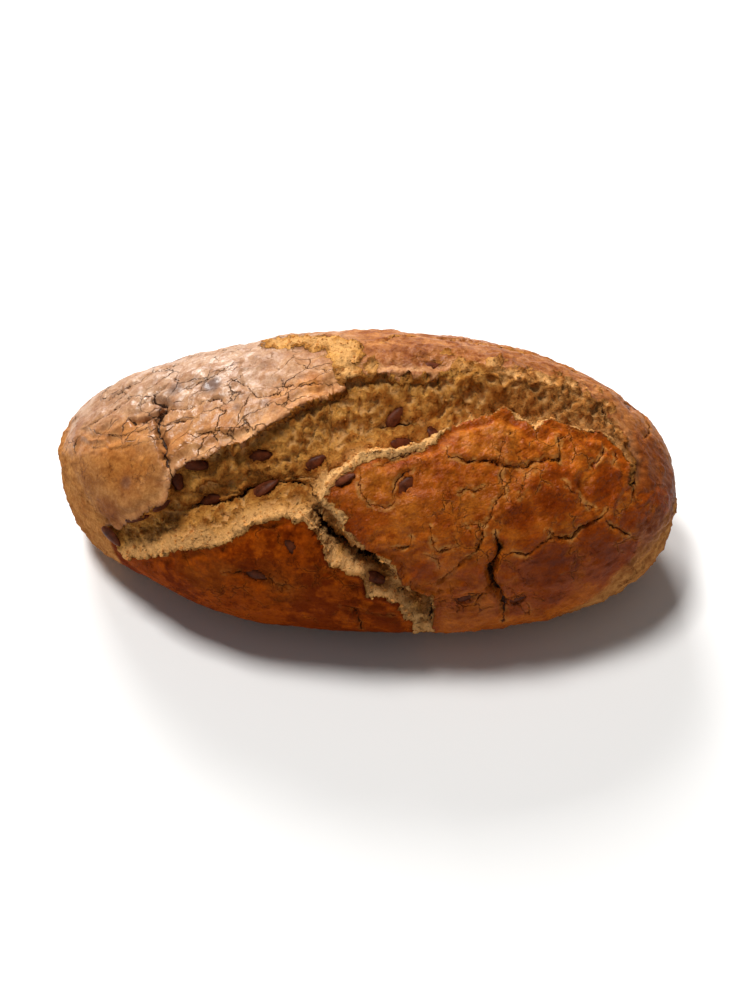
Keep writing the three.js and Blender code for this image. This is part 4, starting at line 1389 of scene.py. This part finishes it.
def pale_floor(colour):
    """The wide floor that the loaf rests on."""
    deselect()
    bpy.ops.mesh.primitive_plane_add(size=8)
    floor = bpy.context.object
    floor.name = "floor"
    inputs = {"Base Color": rgba(colour), "Roughness": 0.9, "Specular IOR Level": 0.1}
    floor.data.materials.append(Board("Pale floor").finish(inputs))
    return floor


def area_light(name, place, size, power, colour):
    """A square soft light that hangs at this place and points at the loaf."""
    light = bpy.data.lights.new(name, "AREA")
    light.shape = "SQUARE"
    light.size = size
    light.energy = power
    light.color = colour
    lamp = bpy.data.objects.new(name, light)
    lamp.location = place
    lamp.rotation_euler = (Vector(LIGHTS_AIM) - Vector(place)).to_track_quat("-Z", "Y").to_euler()
    bpy.context.scene.collection.objects.link(lamp)


def even_sky(scene, strength):
    """Even white light from all round."""
    world = bpy.data.worlds.new("sky")
    world.use_nodes = True
    background = world.node_tree.nodes["Background"]
    background.inputs["Color"].default_value = (1, 1, 1, 1)
    background.inputs["Strength"].default_value = strength
    scene.world = world


def look_at_loaf(scene, settings):
    """Sets up the camera in front of the loaf and above it."""
    turn, rise = settings.azimuth, settings.elevation
    back = Vector((math.sin(turn) * math.cos(rise), -math.cos(turn) * math.cos(rise), math.sin(rise)))
    right = Vector((math.cos(turn), math.sin(turn), 0))
    up = back.cross(right)
    middle = Vector((0, AXIS_Y, LOOK_HEIGHT * MM))
    aim = middle + right * LOOK_RIGHT * MM - up * LOOK_DOWN * MM
    lens = bpy.data.cameras.new("camera")
    lens.lens = settings.lens
    lens.sensor_width = 36
    lens.clip_start = 0.01
    camera = bpy.data.objects.new("camera", lens)
    camera.location = middle + back * settings.distance
    camera.rotation_euler = (aim - camera.location).to_track_quat("-Z", "Y").to_euler()
    scene.collection.objects.link(camera)
    scene.camera = camera


class ROLL_OT_stage(bpy.types.Operator):
    """Lays the pale floor, hangs the soft lights and sets up the camera"""

    bl_idname = "roll.stage"
    bl_label = "Stage"

    def execute(self, context):
        settings = context.scene.roll_stage
        floor = pale_floor(settings.floor_colour)
        area_light("window", (-0.5, 1.4, 0.95), 0.7, settings.window_power, (1.0, 0.99, 0.97))
        area_light("key", (-0.5, 0.25, 1.7), 0.45, settings.key_power, (1.0, 0.985, 0.96))
        even_sky(context.scene, settings.sky_strength)
        context.scene.view_settings.view_transform = "Standard"
        look_at_loaf(context.scene, settings)
        return {"FINISHED"}


class ROLL_PT_panel(bpy.types.Panel):
    """Lists the steps that make the roll"""

    bl_idname = "ROLL_PT_panel"
    bl_label = "Bread roll"
    bl_space_type = "VIEW_3D"
    bl_region_type = "UI"
    bl_category = "Bread roll"

    def draw(self, context):
        for group in (context.scene.roll_bread, context.scene.roll_seeds, context.scene.roll_stage):
            box = self.layout.box()
            for name in group.__annotations__:
                box.prop(group, name)
        for operator in (ROLL_OT_loaf, ROLL_OT_seeds, ROLL_OT_crumbs, ROLL_OT_stage):
            self.layout.operator(operator.bl_idname)


CLASSES = (
    BreadSettings, SeedSettings, StageSettings, ROLL_OT_loaf, ROLL_OT_seeds, ROLL_OT_crumbs, ROLL_OT_stage,
    ROLL_PT_panel,
)


def register():
    for item in CLASSES:
        bpy.utils.register_class(item)
    bpy.types.Scene.roll_bread = PointerProperty(type=BreadSettings)
    bpy.types.Scene.roll_seeds = PointerProperty(type=SeedSettings)
    bpy.types.Scene.roll_stage = PointerProperty(type=StageSettings)


def unregister():
    del bpy.types.Scene.roll_bread
    del bpy.types.Scene.roll_seeds
    del bpy.types.Scene.roll_stage
    for item in reversed(CLASSES):
        bpy.utils.unregister_class(item)


def main():
    register()
    bpy.ops.roll.loaf()
    bpy.ops.roll.seeds()
    bpy.ops.roll.crumbs()
    bpy.ops.roll.stage()
    bpy.context.view_layer.update()


if __name__ == "__main__":
    main()
